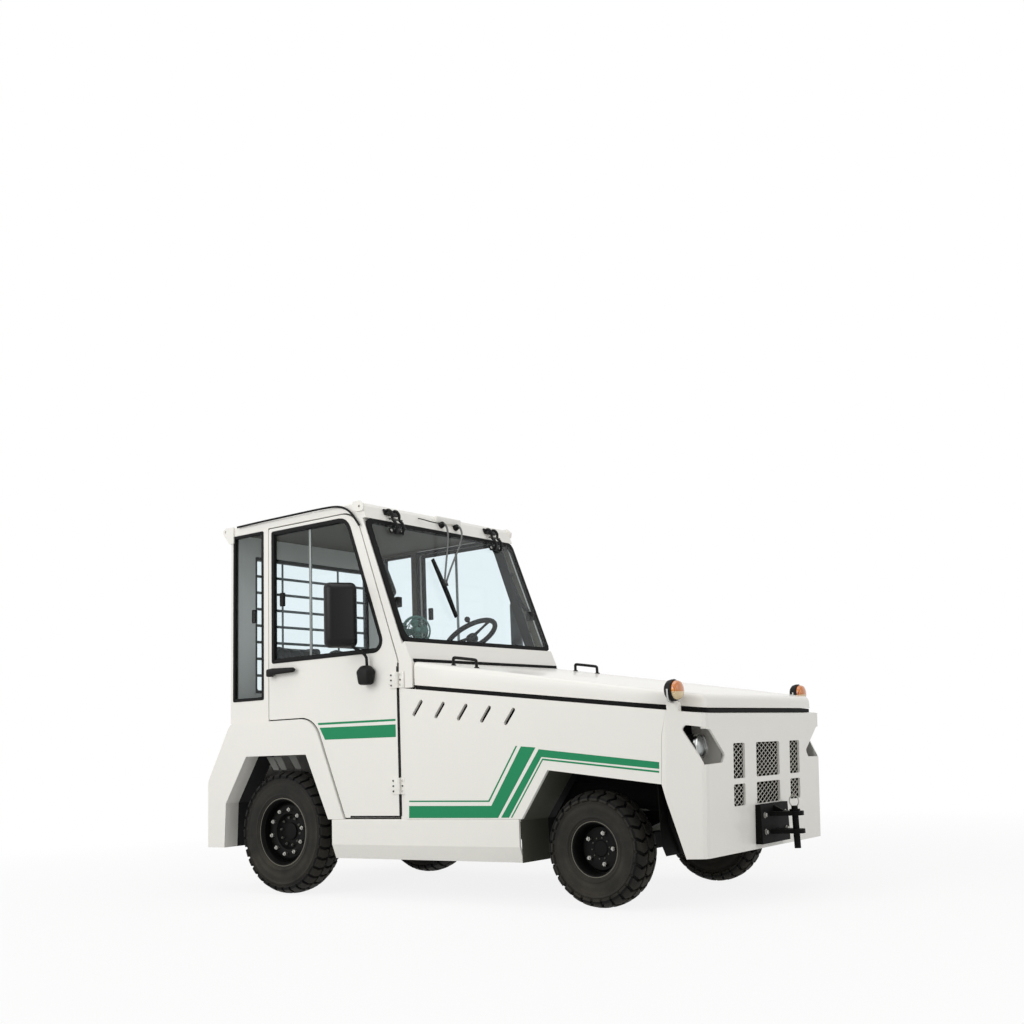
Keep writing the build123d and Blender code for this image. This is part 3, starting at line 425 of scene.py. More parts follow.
def done(piece, body, finish, smooth=35):
    """Ends a piece: place kept in its mesh, smoothed, with its finish and body."""
    if bpy.context.mode != "OBJECT":
        bpy.ops.object.mode_set(mode="OBJECT")
    bpy.ops.object.select_all(action="DESELECT")
    piece.select_set(True)
    bpy.context.view_layer.objects.active = piece
    bpy.ops.object.transform_apply(location=True, rotation=True, scale=True)
    bpy.ops.object.shade_smooth_by_angle(angle=math.radians(smooth))
    piece.data.materials.clear()
    piece.data.materials.append(finish)
    piece.select_set(False)
    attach(piece, body)
    return piece


def twin(piece):
    """A copy with its own mesh, mirrored to the other side of the vehicle and to that side's body."""
    here, there = ("right", "left") if piece.name.endswith("right") else ("left", "right")
    bpy.ops.object.select_all(action="DESELECT")
    copy = piece.copy()
    copy.data = piece.data.copy()
    copy.name = piece.name.removesuffix(here) + there
    bpy.context.scene.collection.objects.link(copy)
    copy.data.transform(Matrix.Diagonal((1, -1, 1, 1)))
    copy.data.flip_normals()
    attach(copy, piece["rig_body"].replace(here, there))
    return copy


def pair(piece, body, finish, smooth=35):
    """Ends a piece of one side and makes its twin for the other side."""
    return done(piece, body, finish, smooth), twin(piece)


def from_axle(wire, where):
    """Distance from the wheel's axle in metres."""
    low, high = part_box(f"tyre_{where}_right")
    forward = along(wire, 0) - (low.x + high.x) / 2
    up = along(wire, 2) - (low.z + high.z) / 2
    return (forward * forward + up * up).maths("SQRT")


def rubber(where, shoulder, crown):
    """Worn black rubber, brown with dust on the side walls, with painted light mixed in: the dust thins
    towards the top, which also stands for painted shade under the fender; circular bands on the side walls
    are painted highlights; and near black painted shade lies down between the tread blocks.

    shoulder and crown are millimetres from the axle: where the tread starts, and its floor at the middle.
    """
    material, wire = new_finish(f"tyre_rubber_{where}")
    low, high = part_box(f"tyre_{where}_right")
    clouds = noise(wire, 7, 5)
    fine = noise(wire, 90, 4)
    # More dust low down; the darker top that this leaves is also painted shade under the fender.
    low_dust_and_shade = (1.0 - along(wire, 2) / 0.55).clamped()
    radius = from_axle(wire, where)
    dust = ((clouds - 0.30) * 2.2).clamped() * (0.35 + low_dust_and_shade * 0.65)
    # Painted highlight: circular bands on the side wall that lighten the dust.
    highlight_rings = (radius * 150).maths("SINE") * 0.5 + 0.5
    tint = (dust * (0.7 + highlight_rings * 0.3)).mixed(rgb("1B1B19"), rgb("4A463E"))
    out = aside(wire) - (abs(low.y) + abs(high.y)) / 2
    above_floor = radius + out * out * 2.2 - crown / 1000
    # Painted shade: near black down between the tread blocks.
    groove_shade = radius.above(shoulder / 1000) * (1.0 - ((above_floor - 0.001) / 0.008).clamped())
    tint = groove_shade.mixed(tint, rgb("050505"))
    bumps = wire.node("Bump", {}, {"Strength": 0.35, "Distance": 0.0008, "Height": fine})
    shader = wire.node("BsdfPrincipled", {}, {
        "Base Color": tint, "Roughness": 0.6 + dust * 0.25, "Specular IOR Level": 0.15, "Normal": bumps})
    wire.node("OutputMaterial", {}, {"Surface": shader})
    return material


def flange(where, radius):
    """Black wheel paint with a pale grey painted highlight on the edge of the rim's flange, from that radius
    out.
    """
    def edge(wire):
        return from_axle(wire, where).above(radius / 1000) * from_axle(wire, where).below(0.25)

    # Painted highlight: pale grey on the edge of the flange.
    return painted(f"wheel_paint_{where}", rgb("0A0A09"), 0.45, 0.0, 0.2, 0.3,
                   covered=(edge, rgb("6B685F"), 0.4), shine=0.1)


zinc = plain("zinc_plate", rgb("A9A8A2"), 0.3, 0.9, grain=300, depth=0.15, vary=0.2)
dull_steel = plain("dull_steel", rgb("55554F"), 0.42, 0.8, grain=300, depth=0.2, vary=0.3)


def wheel(where, side_walls, crown, tread, groove, lugs, lug_height, disc, bright, nuts):
    """One tyre and its rim on the right side, then the same mirrored to the left.

    Profiles are lists of millimetres outboard of the wheel's middle and from its centre. tread gives the
    rows of blocks: millimetres outboard, millimetres that the row leans round the tyre. groove is the
    stretch without blocks between the middle row and the shoulder rows, and bright is the radius
    where the painted highlight on the flange starts. nuts has rows of count, circle, outboard, size,
    length, finish and degrees of the first.
    """
    body = f"wheel_{where}_right"
    tyre_low, tyre_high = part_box(f"tyre_{where}_right")
    centre = (tyre_low + tyre_high) / 2
    shoulder_out = max(out for out, _ in tread)

    def on_wheel(out, radius, lean=0.0):
        turn = lean / max(radius, 1)
        return centre + Vector((radius * math.sin(turn), -out, radius * math.cos(turn))) / 1000

    columns = 4 * lugs
    outer = [(out, radius, 0) for out, radius in side_walls]
    inner = [(-out, radius, 0) for out, radius in reversed(side_walls)]
    line = [on_wheel(*point) for point in outer + [(o, crown(o), lean) for o, lean in tread] + inner]
    tyre = lathe(f"tyre_tread_{where}_right", line, centre, (0, 1, 0), columns)
    steps = sorted(tread)

    def column_of(point):
        out = -(point.y - centre.y) * 1000
        lean = 0.0
        for (a, lean_a), (b, lean_b) in zip(steps, steps[1:]):
            if a <= out <= b:
                lean = lean_a + (lean_b - lean_a) * (out - a) / (b - a)
        radius = math.hypot(point.x - centre.x, point.z - centre.z) * 1000
        turn = math.atan2(point.x - centre.x, point.z - centre.z) - lean / radius
        return (turn / (2 * math.pi) * columns) % 4, out

    def on_block(point, normal):
        column, out = column_of(point)
        radius = math.hypot(point.x - centre.x, point.z - centre.z) * 1000
        if radius < crown(shoulder_out) - 14:
            return False
        shifted = (column + (2 if out < 0 else 0)) % 4
        if abs(out) < groove[0]:
            shifted = (column + 1) % 4
        elif abs(out) < groove[1]:
            return False
        return shifted < 3

    faces_where(on_block)
    bpy.ops.mesh.extrude_region_shrink_fatten(TRANSFORM_OT_shrink_fatten={"value": lug_height / 1000})
    shaped(tyre, "BEVEL", width=0.0022, segments=1, limit_method="ANGLE", angle_limit=math.radians(48))
    done(tyre, body, rubber(where, side_walls[-1][1] + 2, crown(0)), smooth=40)

    line = [on_wheel(*point) for point in disc]
    rim = lathe(f"rim_disc_{where}_right", line, centre, (0, 1, 0), 64)
    done(rim, body, flange(where, bright), smooth=30)

    made = [tyre, rim]
    for number, (count, circle, out, size, length, finish, first) in enumerate(nuts):
        angle = math.radians(first)
        away = Vector((circle * math.sin(angle), -(out + length / 2), circle * math.cos(angle)))
        place = centre + away / 1000
        bpy.ops.object.select_all(action="DESELECT")
        bpy.ops.mesh.primitive_cylinder_add(vertices=6, radius=size / 1000, depth=length / 1000,
                                            location=place, rotation=(math.pi / 2, 0, 0))
        nut = bpy.context.object
        nut.name = f"wheel_nuts_{where}_{number}_right"
        bpy.ops.object.mode_set(mode="EDIT")
        faces_where(lambda point, normal: point.y < place.y - length / 2200)
        bpy.ops.mesh.inset(thickness=size * 0.18 / 1000, depth=size * 0.16 / 1000)
        bpy.ops.mesh.inset(thickness=size * 0.22 / 1000)
        bpy.ops.mesh.extrude_region_move(TRANSFORM_OT_translate={"value": (0, -length * 0.35 / 1000, 0)})
        around(nut, count, centre)
        made.append(done(nut, body, finish, smooth=25))
    for piece in made:
        twin(piece)
    for side in ("right", "left"):
        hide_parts(f"tyre_{where}_{side}")
        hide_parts(f"rim_{where}_{side}")


wheel("rear",
      side_walls=[(70, 202), (80, 204), (88, 213), (88, 221), (93, 224), (94, 232), (90.5, 235), (93.5, 252),
                  (95, 272), (94.5, 290), (91, 302), (94, 306), (94, 313), (90, 317), (88, 329)],
      crown=lambda out: 362.5 - 0.0021 * out * out - 1.2e-9 * abs(out) ** 5,
      tread=[(85, 0), (58, 7), (33, 0), (27, 2), (0, 12), (-27, 2), (-33, 0), (-58, 7), (-85, 0)],
      groove=(27, 33), lugs=34, lug_height=12.0, bright=201.5,
      disc=[(20, 0), (20, 42), (17, 50), (8, 53), (7, 60), (7, 97), (13, 103), (33, 110), (37, 117),
            (37, 157), (33, 166), (25, 176), (22, 183), (40, 186), (62, 187), (68, 191), (78, 193),
            (84, 198), (85.5, 205), (83, 208.5), (79, 207), (77, 201), (-77, 201), (-80, 206), (-84, 206),
            (-84, 184), (10, 180), (20, 158), (20, 118), (-3, 97), (-3, 54), (-3, 0)],
      nuts=[(10, 136, 37, 13.5, 17, zinc, 8), (10, 84, 7, 8.5, 12, dull_steel, 26)])
wheel("front",
      side_walls=[(64, 138), (75, 140), (83, 147), (83.5, 155), (88.5, 158), (89, 166), (85.5, 169),
                  (89.5, 186), (91, 203), (90.5, 218), (87, 230), (90, 234), (90, 241), (86, 245), (84, 256)],
      crown=lambda out: 284.2 - 0.0023 * out * out - 1.4e-9 * abs(out) ** 5,
      tread=[(81, 0), (56, 17), (32, 0), (25, 2), (0, 17), (-25, 2), (-32, 0), (-56, 17), (-81, 0)],
      groove=(25, 32), lugs=27, lug_height=13.5, bright=138.0,
      disc=[(17, 0), (17, 38), (14, 41), (12, 44), (12, 62), (13, 68), (13, 108), (9, 114), (-2, 120),
            (-2, 123), (30, 124), (56, 125), (62, 128), (72, 130), (77, 134), (79, 141), (77, 144.5),
            (73, 143), (71, 138), (-70, 138), (-73, 143), (-77, 143), (-77, 122), (-12, 120), (-4, 112),
            (-4, 44), (-4, 0)],
      nuts=[(5, 82, 13, 13, 17, zinc, 18), (10, 54, 12, 4.5, 4, dull_steel, 12)])


# ---- stripes ---------------------------------------------------------------------
# Cut vinyl film in green, stuck on the doors and the front side panels: one broad band
# with a thin line along it, stepping up over the front wheel.
def metres(x, y, z):
    """Point on the vehicle from millimetres ahead of the rear axle, left of the middle and up."""
    return Vector((rear_axle_x + x / 1000, y / 1000, z / 1000))


def plate(name, outline, push, width=0.0):
    """A flat piece with a drawn outline, pushed to its thickness; bevelled if a width is given."""
    piece = begin(name, outline)
    bpy.ops.mesh.select_all(action="SELECT")
    bpy.ops.mesh.edge_face_add()
    bpy.ops.mesh.extrude_region_move(TRANSFORM_OT_translate={"value": push})
    bpy.ops.mesh.select_all(action="SELECT")
    bpy.ops.mesh.normals_make_consistent(inside=False)
    if width:
        shaped(piece, "BEVEL", width=width / 1000, segments=2, limit_method="ANGLE",
               angle_limit=math.radians(40))
    bpy.ops.object.mode_set(mode="OBJECT")
    return piece


FILM = 0.7
film_green = plain("film_green", rgb("1A8457"), 0.38, grain=30, depth=0.03, vary=0.05, shine=0.2)
panel_film = [
    [(1075, 557), (1075, 549), (1657, 545), (1860, 838), (1850, 839), (1651, 553)],
    [(1074, 527), (1072, 460), (1712, 460), (1981, 826), (1885, 835), (1669, 524)],
    [(1733, 461), (1786, 461), (2017, 775), (2731, 696), (2733, 729), (2002, 816)],
    [(1799, 461), (1808, 461), (2026, 758), (2729, 677), (2730, 686), (2023, 767)],
]
door_film = [
    [(333, 1030), (975, 1025), (975, 1013), (338, 1017)],
    [(348, 1000), (975, 993), (975, 920), (394, 926)],
]
for group, side_y, body, films in (("panel", -768, "vehicle", panel_film),
                                   ("door", -758, "door_right", door_film)):
    for number, outline in enumerate(films):
        film = plate(f"stripe_{group}_{number}_right", [metres(x, side_y, z) for x, z in outline],
                     (0, -FILM / 1000, 0))
        pair(film, body, film_green)


# ---- windows ---------------------------------------------------------------------
# Toughened glass held in black rubber: a clamped gasket round every opening, sliding
# door panes that meet in a thin channel, and small moulded catches.
def rounded(corners, step=18):
    """Outline with each corner, given as two coordinates and a radius, turned into short chords."""
    outline = []
    for number, (a, b, radius) in enumerate(corners):
        here = Vector((a, b))
        back = (Vector(corners[number - 1][:2]) - here).normalized()
        ahead = (Vector(corners[(number + 1) % len(corners)][:2]) - here).normalized()
        between = back.angle(ahead) / 2
        middle = here + (back + ahead).normalized() * radius / math.sin(between)
        start, end = here + back * radius / math.tan(between), here + ahead * radius / math.tan(between)
        turn = (start - middle).angle_signed(end - middle)
        parts = max(2, round(abs(math.degrees(turn)) / step))
        for part in range(parts + 1):
            swing = Matrix.Rotation(-turn * part / parts, 2)
            outline.append(middle + swing @ (start - middle))
    return outline


def gasket(name, outline, thickness, push, bevel=4):
    """A rubber frame inside a drawn outline."""
    piece = begin(name, outline)
    bpy.ops.mesh.select_all(action="SELECT")
    bpy.ops.mesh.edge_face_add()
    bpy.ops.mesh.select_mode(type="FACE")
    bpy.ops.mesh.inset(thickness=thickness / 1000, use_even_offset=True)
    bpy.ops.mesh.delete(type="FACE")
    bpy.ops.mesh.select_all(action="SELECT")
    bpy.ops.mesh.extrude_region_move(TRANSFORM_OT_translate={"value": push})
    bpy.ops.mesh.select_all(action="SELECT")
    bpy.ops.mesh.normals_make_consistent(inside=False)
    shaped(piece, "BEVEL", width=bevel / 1000, segments=2, limit_method="ANGLE", angle_limit=math.radians(50))
    bpy.ops.object.mode_set(mode="OBJECT")
    return piece


def boxy(name, low, high, bevel, segments=2, edit=None):
    """A block between two corners with rounded edges; edit shapes it further before the rounding."""
    bpy.ops.object.select_all(action="DESELECT")
    low, high = Vector(low), Vector(high)
    bpy.ops.mesh.primitive_cube_add(size=1, location=(low + high) / 2)
    piece = bpy.context.object
    piece.name = name
    piece.scale = high - low
    bpy.ops.object.transform_apply(location=True, rotation=True, scale=True)
    bpy.ops.object.mode_set(mode="EDIT")
    if edit:
        edit(low, high)
    shaped(piece, "BEVEL", width=bevel / 1000, segments=segments, limit_method="ANGLE",
           angle_limit=math.radians(35))
    bpy.ops.object.mode_set(mode="OBJECT")
    return piece


window_rubber = plain("window_rubber", rgb("0E0E0E"), 0.55, grain=400, depth=0.2, vary=0.3, shine=0.15)
moulded_black = plain("moulded_black", rgb("141413"), 0.42, grain=900, depth=0.35, vary=0.3, shine=0.15)
channel_grey = plain("window_channel", rgb("8B908E"), 0.35, metal=0.4, grain=200, depth=0.1, vary=0.1)

door_window = [(-77, 1423, 16), (-77, 2286, 16), (613, 2286, 106), (914, 1423, 72)]
seal = gasket("door_gasket_right", [metres(x, -761.5, z) for x, z in rounded(door_window)], 24, (0, 0.026, 0))
pair(seal, "door_right", window_rubber)
quarter_window = [(-450, 1198, 12), (-450, 2303, 12), (-155, 2303, 12), (-155, 1198, 12)]
seal = gasket("quarter_gasket_right", [metres(x, -760, z) for x, z in rounded(quarter_window, 30)], 20,
              (0, 0.022, 0))
pair(seal, "vehicle", window_rubber)
rear_window = [(-564, 1256, 40), (-564, 2194, 40), (564, 2194, 40), (564, 1256, 40)]
seal = gasket("rear_gasket", [metres(-477, y, z) for y, z in rounded(rear_window)], 26, (0.018, 0, 0))
done(seal, "vehicle", window_rubber)


def finger_slot(low, high):
    """Sinks a grip into the block's outer and inner faces."""
    faces_where(lambda point, normal: abs(normal.y) > 0.9)
    bpy.ops.mesh.inset(thickness=(high.x - low.x) * 0.22, depth=-(high.y - low.y) * 0.25, use_individual=True)


for name, x, z, body in (("door_catch", 4, 1832, "door_right"), ("quarter_catch", -262, 1748, "vehicle")):
    catch = boxy(name + "_right", metres(x - 17, -751, z - 44), metres(x + 17, -728, z + 44), 4,
                 edit=finger_slot)
    pair(catch, body, moulded_black)
channel = boxy("door_channel_right", metres(253, -744, 1445), metres(271, -733, 2264), 2)
pair(channel, "door_right", channel_grey)
for name, length, z in (("door_track", 640, 2256), ("door_sill_track", 872, 1444)):
    rail = boxy(name + "_right", metres(-55, -745, z), metres(length, -730, z + 10), 2)
    pair(rail, "door_right", window_rubber)


# ---- cab trim --------------------------------------------------------------------
# A rubber drip rail pressed onto the roof edge keeps rain off each door, and the doors
# hang on zinc plated leaf hinges that are painted over with the body.
def bent_rod(name, points, radius, sides=10, smooth=True):
    """A round bar along a line of points."""
    curve = bpy.data.curves.new(name, "CURVE")
    curve.dimensions = "3D"
    line = curve.splines.new("NURBS" if smooth else "POLY")
    line.points.add(len(points) - 1)
    for point, place in zip(line.points, points):
        point.co = (*place, 1)
    if smooth:
        line.order_u = 3
        line.use_endpoint_u = True
        line.resolution_u = 6
    curve.bevel_depth = radius / 1000
    curve.bevel_resolution = max(1, (sides - 4) // 2)
    curve.use_fill_caps = True
    piece = bpy.data.objects.new(name, curve)
    bpy.context.scene.collection.objects.link(piece)
    bpy.ops.object.select_all(action="DESELECT")
    piece.select_set(True)
    bpy.context.view_layer.objects.active = piece
    bpy.ops.object.convert(target="MESH")
    piece = bpy.context.object
    piece.name = name
    bpy.ops.object.mode_set(mode="EDIT")
    bpy.ops.mesh.select_all(action="SELECT")
    bpy.ops.mesh.remove_doubles(threshold=0.00001)
    bpy.ops.mesh.normals_make_consistent(inside=False)
    bpy.ops.object.mode_set(mode="OBJECT")
    return piece


drip = bent_rod("drip_rail_right", [metres(x, y, z) for x, y, z in (
    (-395, -771, 2360), (-200, -772, 2364), (100, -772, 2366), (430, -772, 2368), (560, -772, 2360),
    (640, -772, 2320), (690, -771, 2262), (722, -770, 2215))], 7, sides=8)
pair(drip, "vehicle", window_rubber)
fitting_paint = painted("white_enamel_hinge", **white_enamel)
for number, z in enumerate((640, 1250)):
    for leaf, (x0, x1), body in (("door", (938, 993), "door_right"), ("post", (1009, 1050), "vehicle")):
        piece = boxy(f"hinge_{leaf}_{number}_right", metres(x0, -763.5, z - 48),
                     metres(x1, -757.5, z + 48), 1.5)
        pair(piece, body, fitting_paint)
        for turn, up in enumerate((-30, 0, 30)):
            bpy.ops.object.select_all(action="DESELECT")
            bpy.ops.mesh.primitive_cylinder_add(
                vertices=12, radius=0.0055, depth=0.004, location=metres(x0 + 14, -764.5, z + up),
                rotation=(math.pi / 2, 0, 0))
            screw = bpy.context.object
            screw.name = f"hinge_screw_{leaf}_{number}_{turn}_right"
            bpy.ops.object.mode_set(mode="EDIT")
            faces_where(lambda point, normal: point.y < metres(0, -766, 0).y)
            bpy.ops.mesh.inset(thickness=0.0022, depth=-0.0025)
            pair(screw, body, dull_steel)
gap_seal = plate("door_gap_seal_right", [metres(x, -757.4, z) for x, z in (
    (1002, 470), (1008, 470), (1008, 1350), (1002, 1350))], (0, 0.012, 0))
pair(gap_seal, "vehicle", window_rubber)
edge_seal = plate("door_edge_seal_right", [metres(x, -758.2, z) for x, z in (
    (600, 462), (1000, 462), (1000, 1330), (990, 1330), (990, 472), (600, 472))], (0, -0.0009, 0))
pair(edge_seal, "door_right", window_rubber)


def grip_taper(low, high):
    """Thins the lever towards its free end and hollows it behind the fingers."""
    bpy.ops.mesh.select_all(action="SELECT")
    bpy.ops.mesh.bisect(plane_co=low + (high - low) * 0.30, plane_no=(1, 0, 0))
    faces_where(lambda point, normal: normal.x > 0.9)
    bpy.ops.transform.resize(value=(1, 0.8, 0.62))
    faces_where(lambda point, normal: normal.x < -0.9)
    bpy.ops.transform.resize(value=(1, 0.9, 1.25))


grip = boxy("door_grip_right", metres(-88, -800, 1350), metres(150, -776, 1377), 6, segments=3,
            edit=grip_taper)
pair(grip, "door_right", moulded_black, smooth=50)


# ---- mirrors ---------------------------------------------------------------------
# A moulded black mirror head on a bent steel arm. The arm is clamped in a rubber foot
# that is bolted to the door below its window.
MIRROR_TURN = math.radians(-33)
mirror_middle = metres(676, -893, 1658)
mirror_black = plain("mirror_black", rgb("0C0C0C"), 0.32, grain=500, depth=0.06, vary=0.15, shine=0.22)
silvered, wire = new_finish("silvered_glass")
smear = noise(wire, 25, 4)
wire.node("OutputMaterial", {}, {"Surface": wire.node("BsdfPrincipled", {}, {
    "Base Color": rgb("C9CDCC"), "Metallic": 1.0, "Roughness": smear * 0.08})})


def block(name, size):
    """A plain block of that size in metres, round the row's origin."""
    bpy.ops.object.select_all(action="DESELECT")
    bpy.ops.mesh.primitive_cube_add(size=1, location=(0, 0, 0))
    piece = bpy.context.object
    piece.name = name
    piece.scale = size
    bpy.ops.object.transform_apply(location=True, rotation=True, scale=True)
    return piece


head = block("mirror_head_right", (0.080, 0.218, 0.414))
bpy.ops.object.mode_set(mode="EDIT")
faces_where(lambda point, normal: normal.x > 0.9)
bpy.ops.transform.resize(value=(1, 0.80, 0.88))
shaped(head, "BEVEL", width=0.036, segments=6, limit_method="ANGLE", angle_limit=math.radians(25))
bpy.ops.object.mode_set(mode="EDIT")
faces_where(lambda point, normal: normal.x < -0.995)
bpy.ops.mesh.inset(thickness=0.004, depth=0.0)
bpy.ops.mesh.extrude_region_move(TRANSFORM_OT_translate={"value": (0.006, 0, 0)})
bpy.ops.object.mode_set(mode="OBJECT")
head.rotation_euler.z = MIRROR_TURN
head.location = mirror_middle
head, other_head = pair(head, "door_right", mirror_black, smooth=50)
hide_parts("mirror_right")
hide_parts("mirror_left")
glass = block("mirror_glass_right", (0.003, 0.136, 0.332))
shaped(glass, "BEVEL", width=0.0012, segments=2)
glass.rotation_euler.z = MIRROR_TURN
glass.location = mirror_middle + Matrix.Rotation(MIRROR_TURN, 3, "Z") @ Vector((-0.0345, 0, 0))
pair(glass, "door_right", silvered)
arm = bent_rod("mirror_arm_right", [metres(x, y, z) for x, y, z in (
    (782, -787, 1322), (782, -788, 1362), (783, -792, 1408), (757, -826, 1438), (728, -856, 1462),
    (722, -862, 1500))], 9, sides=12)
pair(arm, "door_right", moulded_black, smooth=50)


def foot_taper(low, high):
    """Draws the foot in towards its top and its outer face."""
    bpy.ops.mesh.select_all(action="SELECT")
    bpy.ops.mesh.bisect(plane_co=low + (high - low) * 0.70, plane_no=(0, 0, 1))
    faces_where(lambda point, normal: normal.z > 0.9)
    bpy.ops.transform.resize(value=(0.50, 0.62, 1))
    faces_where(lambda point, normal: normal.z < -0.9)
    bpy.ops.transform.resize(value=(0.80, 0.80, 1))


foot = boxy("mirror_foot_right", metres(730, -838, 1234), metres(834, -758.5, 1350), 17, segments=5,
            edit=foot_taper)
pair(foot, "door_right", moulded_black, smooth=60)


# ---- door levers -----------------------------------------------------------------
# A moulded black lever covers each door's steel handle. It turns at its rear end on the
# lock plate.
lever = plate("door_lever_right", [metres(x, -774, z) for x, z in (
    (-88, 1340), (-88, 1386), (-40, 1391), (146, 1384), (164, 1372), (146, 1354), (-28, 1350),
    (-46, 1337))], (0, -0.028, 0), width=7)
pair(lever, "door_right", moulded_black, smooth=50)


# ---- windscreen ------------------------------------------------------------------
# The windscreen swings up on two black pressed hinges at the roof. A twin arm wiper and
# its washer hose are mounted on the roof's front edge.
SCREEN_OUT = (0.937, 0, 0.348)


def on_screen(y, z, out):
    """Point that far outside the sloping pane, at a height."""
    return metres(765 + (2261 - z) * SCREEN_SLOPE + SCREEN_OUT[0] * out, y, z + SCREEN_OUT[2] * out)


wiper_black = plain("wiper_black", rgb("101010"), 0.4, grain=500, depth=0.2, vary=0.2, shine=0.2)
wiper_grey = plain("wiper_steel", rgb("5C5E5D"), 0.35, metal=0.6, grain=400, depth=0.2, vary=0.25)
for side, y in (("right", -510), ("left", 515)):
    for leg, shift in enumerate((-34, 30)):
        arm = bent_rod(f"screen_hinge_arm_{leg}_{side}", [
            on_screen(y + shift - 16, 2322, 6), on_screen(y + shift - 12, 2330, 34),
            on_screen(y + shift - 4, 2288, 50), on_screen(y + shift + 2, 2262, 26),
            on_screen(y + shift + 8, 2236, 44), on_screen(y + shift + 14, 2196, 36),
            on_screen(y + shift + 16, 2184, 12)], 9, sides=10)
        done(arm, "vehicle", wiper_black, smooth=60)
    bar = bent_rod(f"screen_hinge_pin_{side}", [on_screen(y - 62, 2262, 30), on_screen(y + 58, 2262, 30)], 6,
                   smooth=False)
    done(bar, "vehicle", dull_steel)
    for label, low_z, high_z in (("roof", 2300, 2338), ("pane", 2176, 2212)):
        corner = [on_screen(y - 66, low_z, 2), on_screen(y + 62, low_z, 2), on_screen(y + 62, high_z, 2),
                  on_screen(y - 66, high_z, 2)]
        clamp = plate(f"screen_hinge_{label}_{side}", corner, on_screen(0, 0, 10) - on_screen(0, 0, 0),
                      width=3)
        done(clamp, "vehicle", wiper_black)
    for turn, shift in enumerate((-52, 48)):
        screw = lathe(f"screen_hinge_screw_{turn}_{side}", [
            on_screen(y + shift, 2194, 17), on_screen(y + shift, 2200, 16.5), on_screen(y + shift, 2203, 13),
            on_screen(y + shift, 2203, 10), on_screen(y + shift, 2194, 10)],
            on_screen(y + shift, 2194, 0), SCREEN_OUT, 12)
        done(screw, "vehicle", zinc)

for number, (pivot_y, reach) in enumerate(((-20, 0), (130, 34))):
    arm = bent_rod(f"wiper_arm_{number}", [
        on_screen(pivot_y, 2300, 22), on_screen(pivot_y - 4, 2296, 50), on_screen(pivot_y - 26, 2200, 56),
        on_screen(-205 + reach, 1930, 46), on_screen(-236 + reach * 0.4, 1858, 36)], 6.5, sides=8)
    done(arm, "vehicle", wiper_grey, smooth=60)
    cap = lathe(f"wiper_pivot_{number}", [
        on_screen(pivot_y, 2300, 34), on_screen(pivot_y, 2310, 33), on_screen(pivot_y, 2317, 27),
        on_screen(pivot_y, 2320, 12), on_screen(pivot_y, 2320, -2), on_screen(pivot_y, 2300, -2)],
        on_screen(pivot_y, 2300, 0), SCREEN_OUT, 20)
    done(cap, "vehicle", wiper_black)
blade = bent_rod("wiper_blade_spine", [on_screen(-252, 2030, 24), on_screen(-245, 1940, 32),
                                       on_screen(-236, 1855, 36), on_screen(-220, 1760, 34),
                                       on_screen(-204, 1650, 24)], 7.5, sides=8)
done(blade, "vehicle", wiper_black, smooth=60)
edge = plate("wiper_rubber", [on_screen(-252, 2032, 3), on_screen(-252, 2032, 22), on_screen(-204, 1648, 22),
                              on_screen(-204, 1648, 3)], (0, 0.007, 0.0005), width=1)
done(edge, "vehicle", window_rubber)
yoke = plate("wiper_yoke", [on_screen(-252, 1890, 30), on_screen(-206, 1884, 30), on_screen(-206, 1846, 30),
                            on_screen(-252, 1840, 30)], on_screen(0, 0, 12) - on_screen(0, 0, 0), width=3)
done(yoke, "vehicle", wiper_black)
motor = boxy("wiper_motor_cover", on_screen(-70, 2316, 4) - Vector((0.012, 0, 0)),
             on_screen(190, 2352, 30), 8, segments=3)
done(motor, "vehicle", fitting_paint)
hose = bent_rod("washer_tube", [on_screen(-246, 2318, 8), on_screen(-244, 2300, 34),
                                on_screen(-180, 2286, 44), on_screen(-90, 2288, 38),
                                on_screen(-24, 2304, 26)], 3.5, sides=8)
done(hose, "vehicle", wiper_black, smooth=60)


# ---- grille ----------------------------------------------------------------------
# Expanded metal, zinc plated and slit into diamonds, bolted behind the openings of the
# front mask. Near black sheets behind it and behind the side louvres are painted shade for
# the dark inside the body.
low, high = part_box("grille_mesh")
middle = (low + high) / 2
wide, tall, lean = high.y - low.y, high.z - low.z, math.atan(44 / 700)
MESHES, MESH_PITCH = 34, 0.0354
bpy.ops.object.select_all(action="DESELECT")
bpy.ops.mesh.primitive_grid_add(x_subdivisions=MESHES, y_subdivisions=MESHES, size=MESHES * MESH_PITCH,
                                location=(0, 0, 0))
net = bpy.context.object
net.name = "grille_net"
bpy.ops.object.mode_set(mode="EDIT")
bpy.ops.mesh.select_all(action="SELECT")
bpy.ops.transform.rotate(value=math.radians(45), orient_axis="Z", center_override=(0, 0, 0))
bpy.ops.transform.resize(value=(1.0, 0.56, 1), center_override=(0, 0, 0))
for normal, reach in (((1, 0, 0), wide / 2), ((-1, 0, 0), wide / 2), ((0, 1, 0), tall / 2),
                      ((0, -1, 0), tall / 2)):
    bpy.ops.mesh.select_all(action="SELECT")
    bpy.ops.mesh.bisect(plane_co=Vector(normal) * reach, plane_no=normal, clear_outer=True)
shaped(net, "WIREFRAME", thickness=0.0052, use_even_offset=True, use_replace=True)
bpy.ops.object.mode_set(mode="OBJECT")
net.rotation_euler = (math.pi / 2, 0, math.pi / 2)
net.location = middle
bpy.ops.object.select_all(action="DESELECT")
net.select_set(True)
bpy.context.view_layer.objects.active = net
bpy.ops.object.transform_apply(location=True, rotation=True, scale=True)
net.rotation_euler.y = lean
net.location = middle - Matrix.Rotation(lean, 3, "Y") @ middle
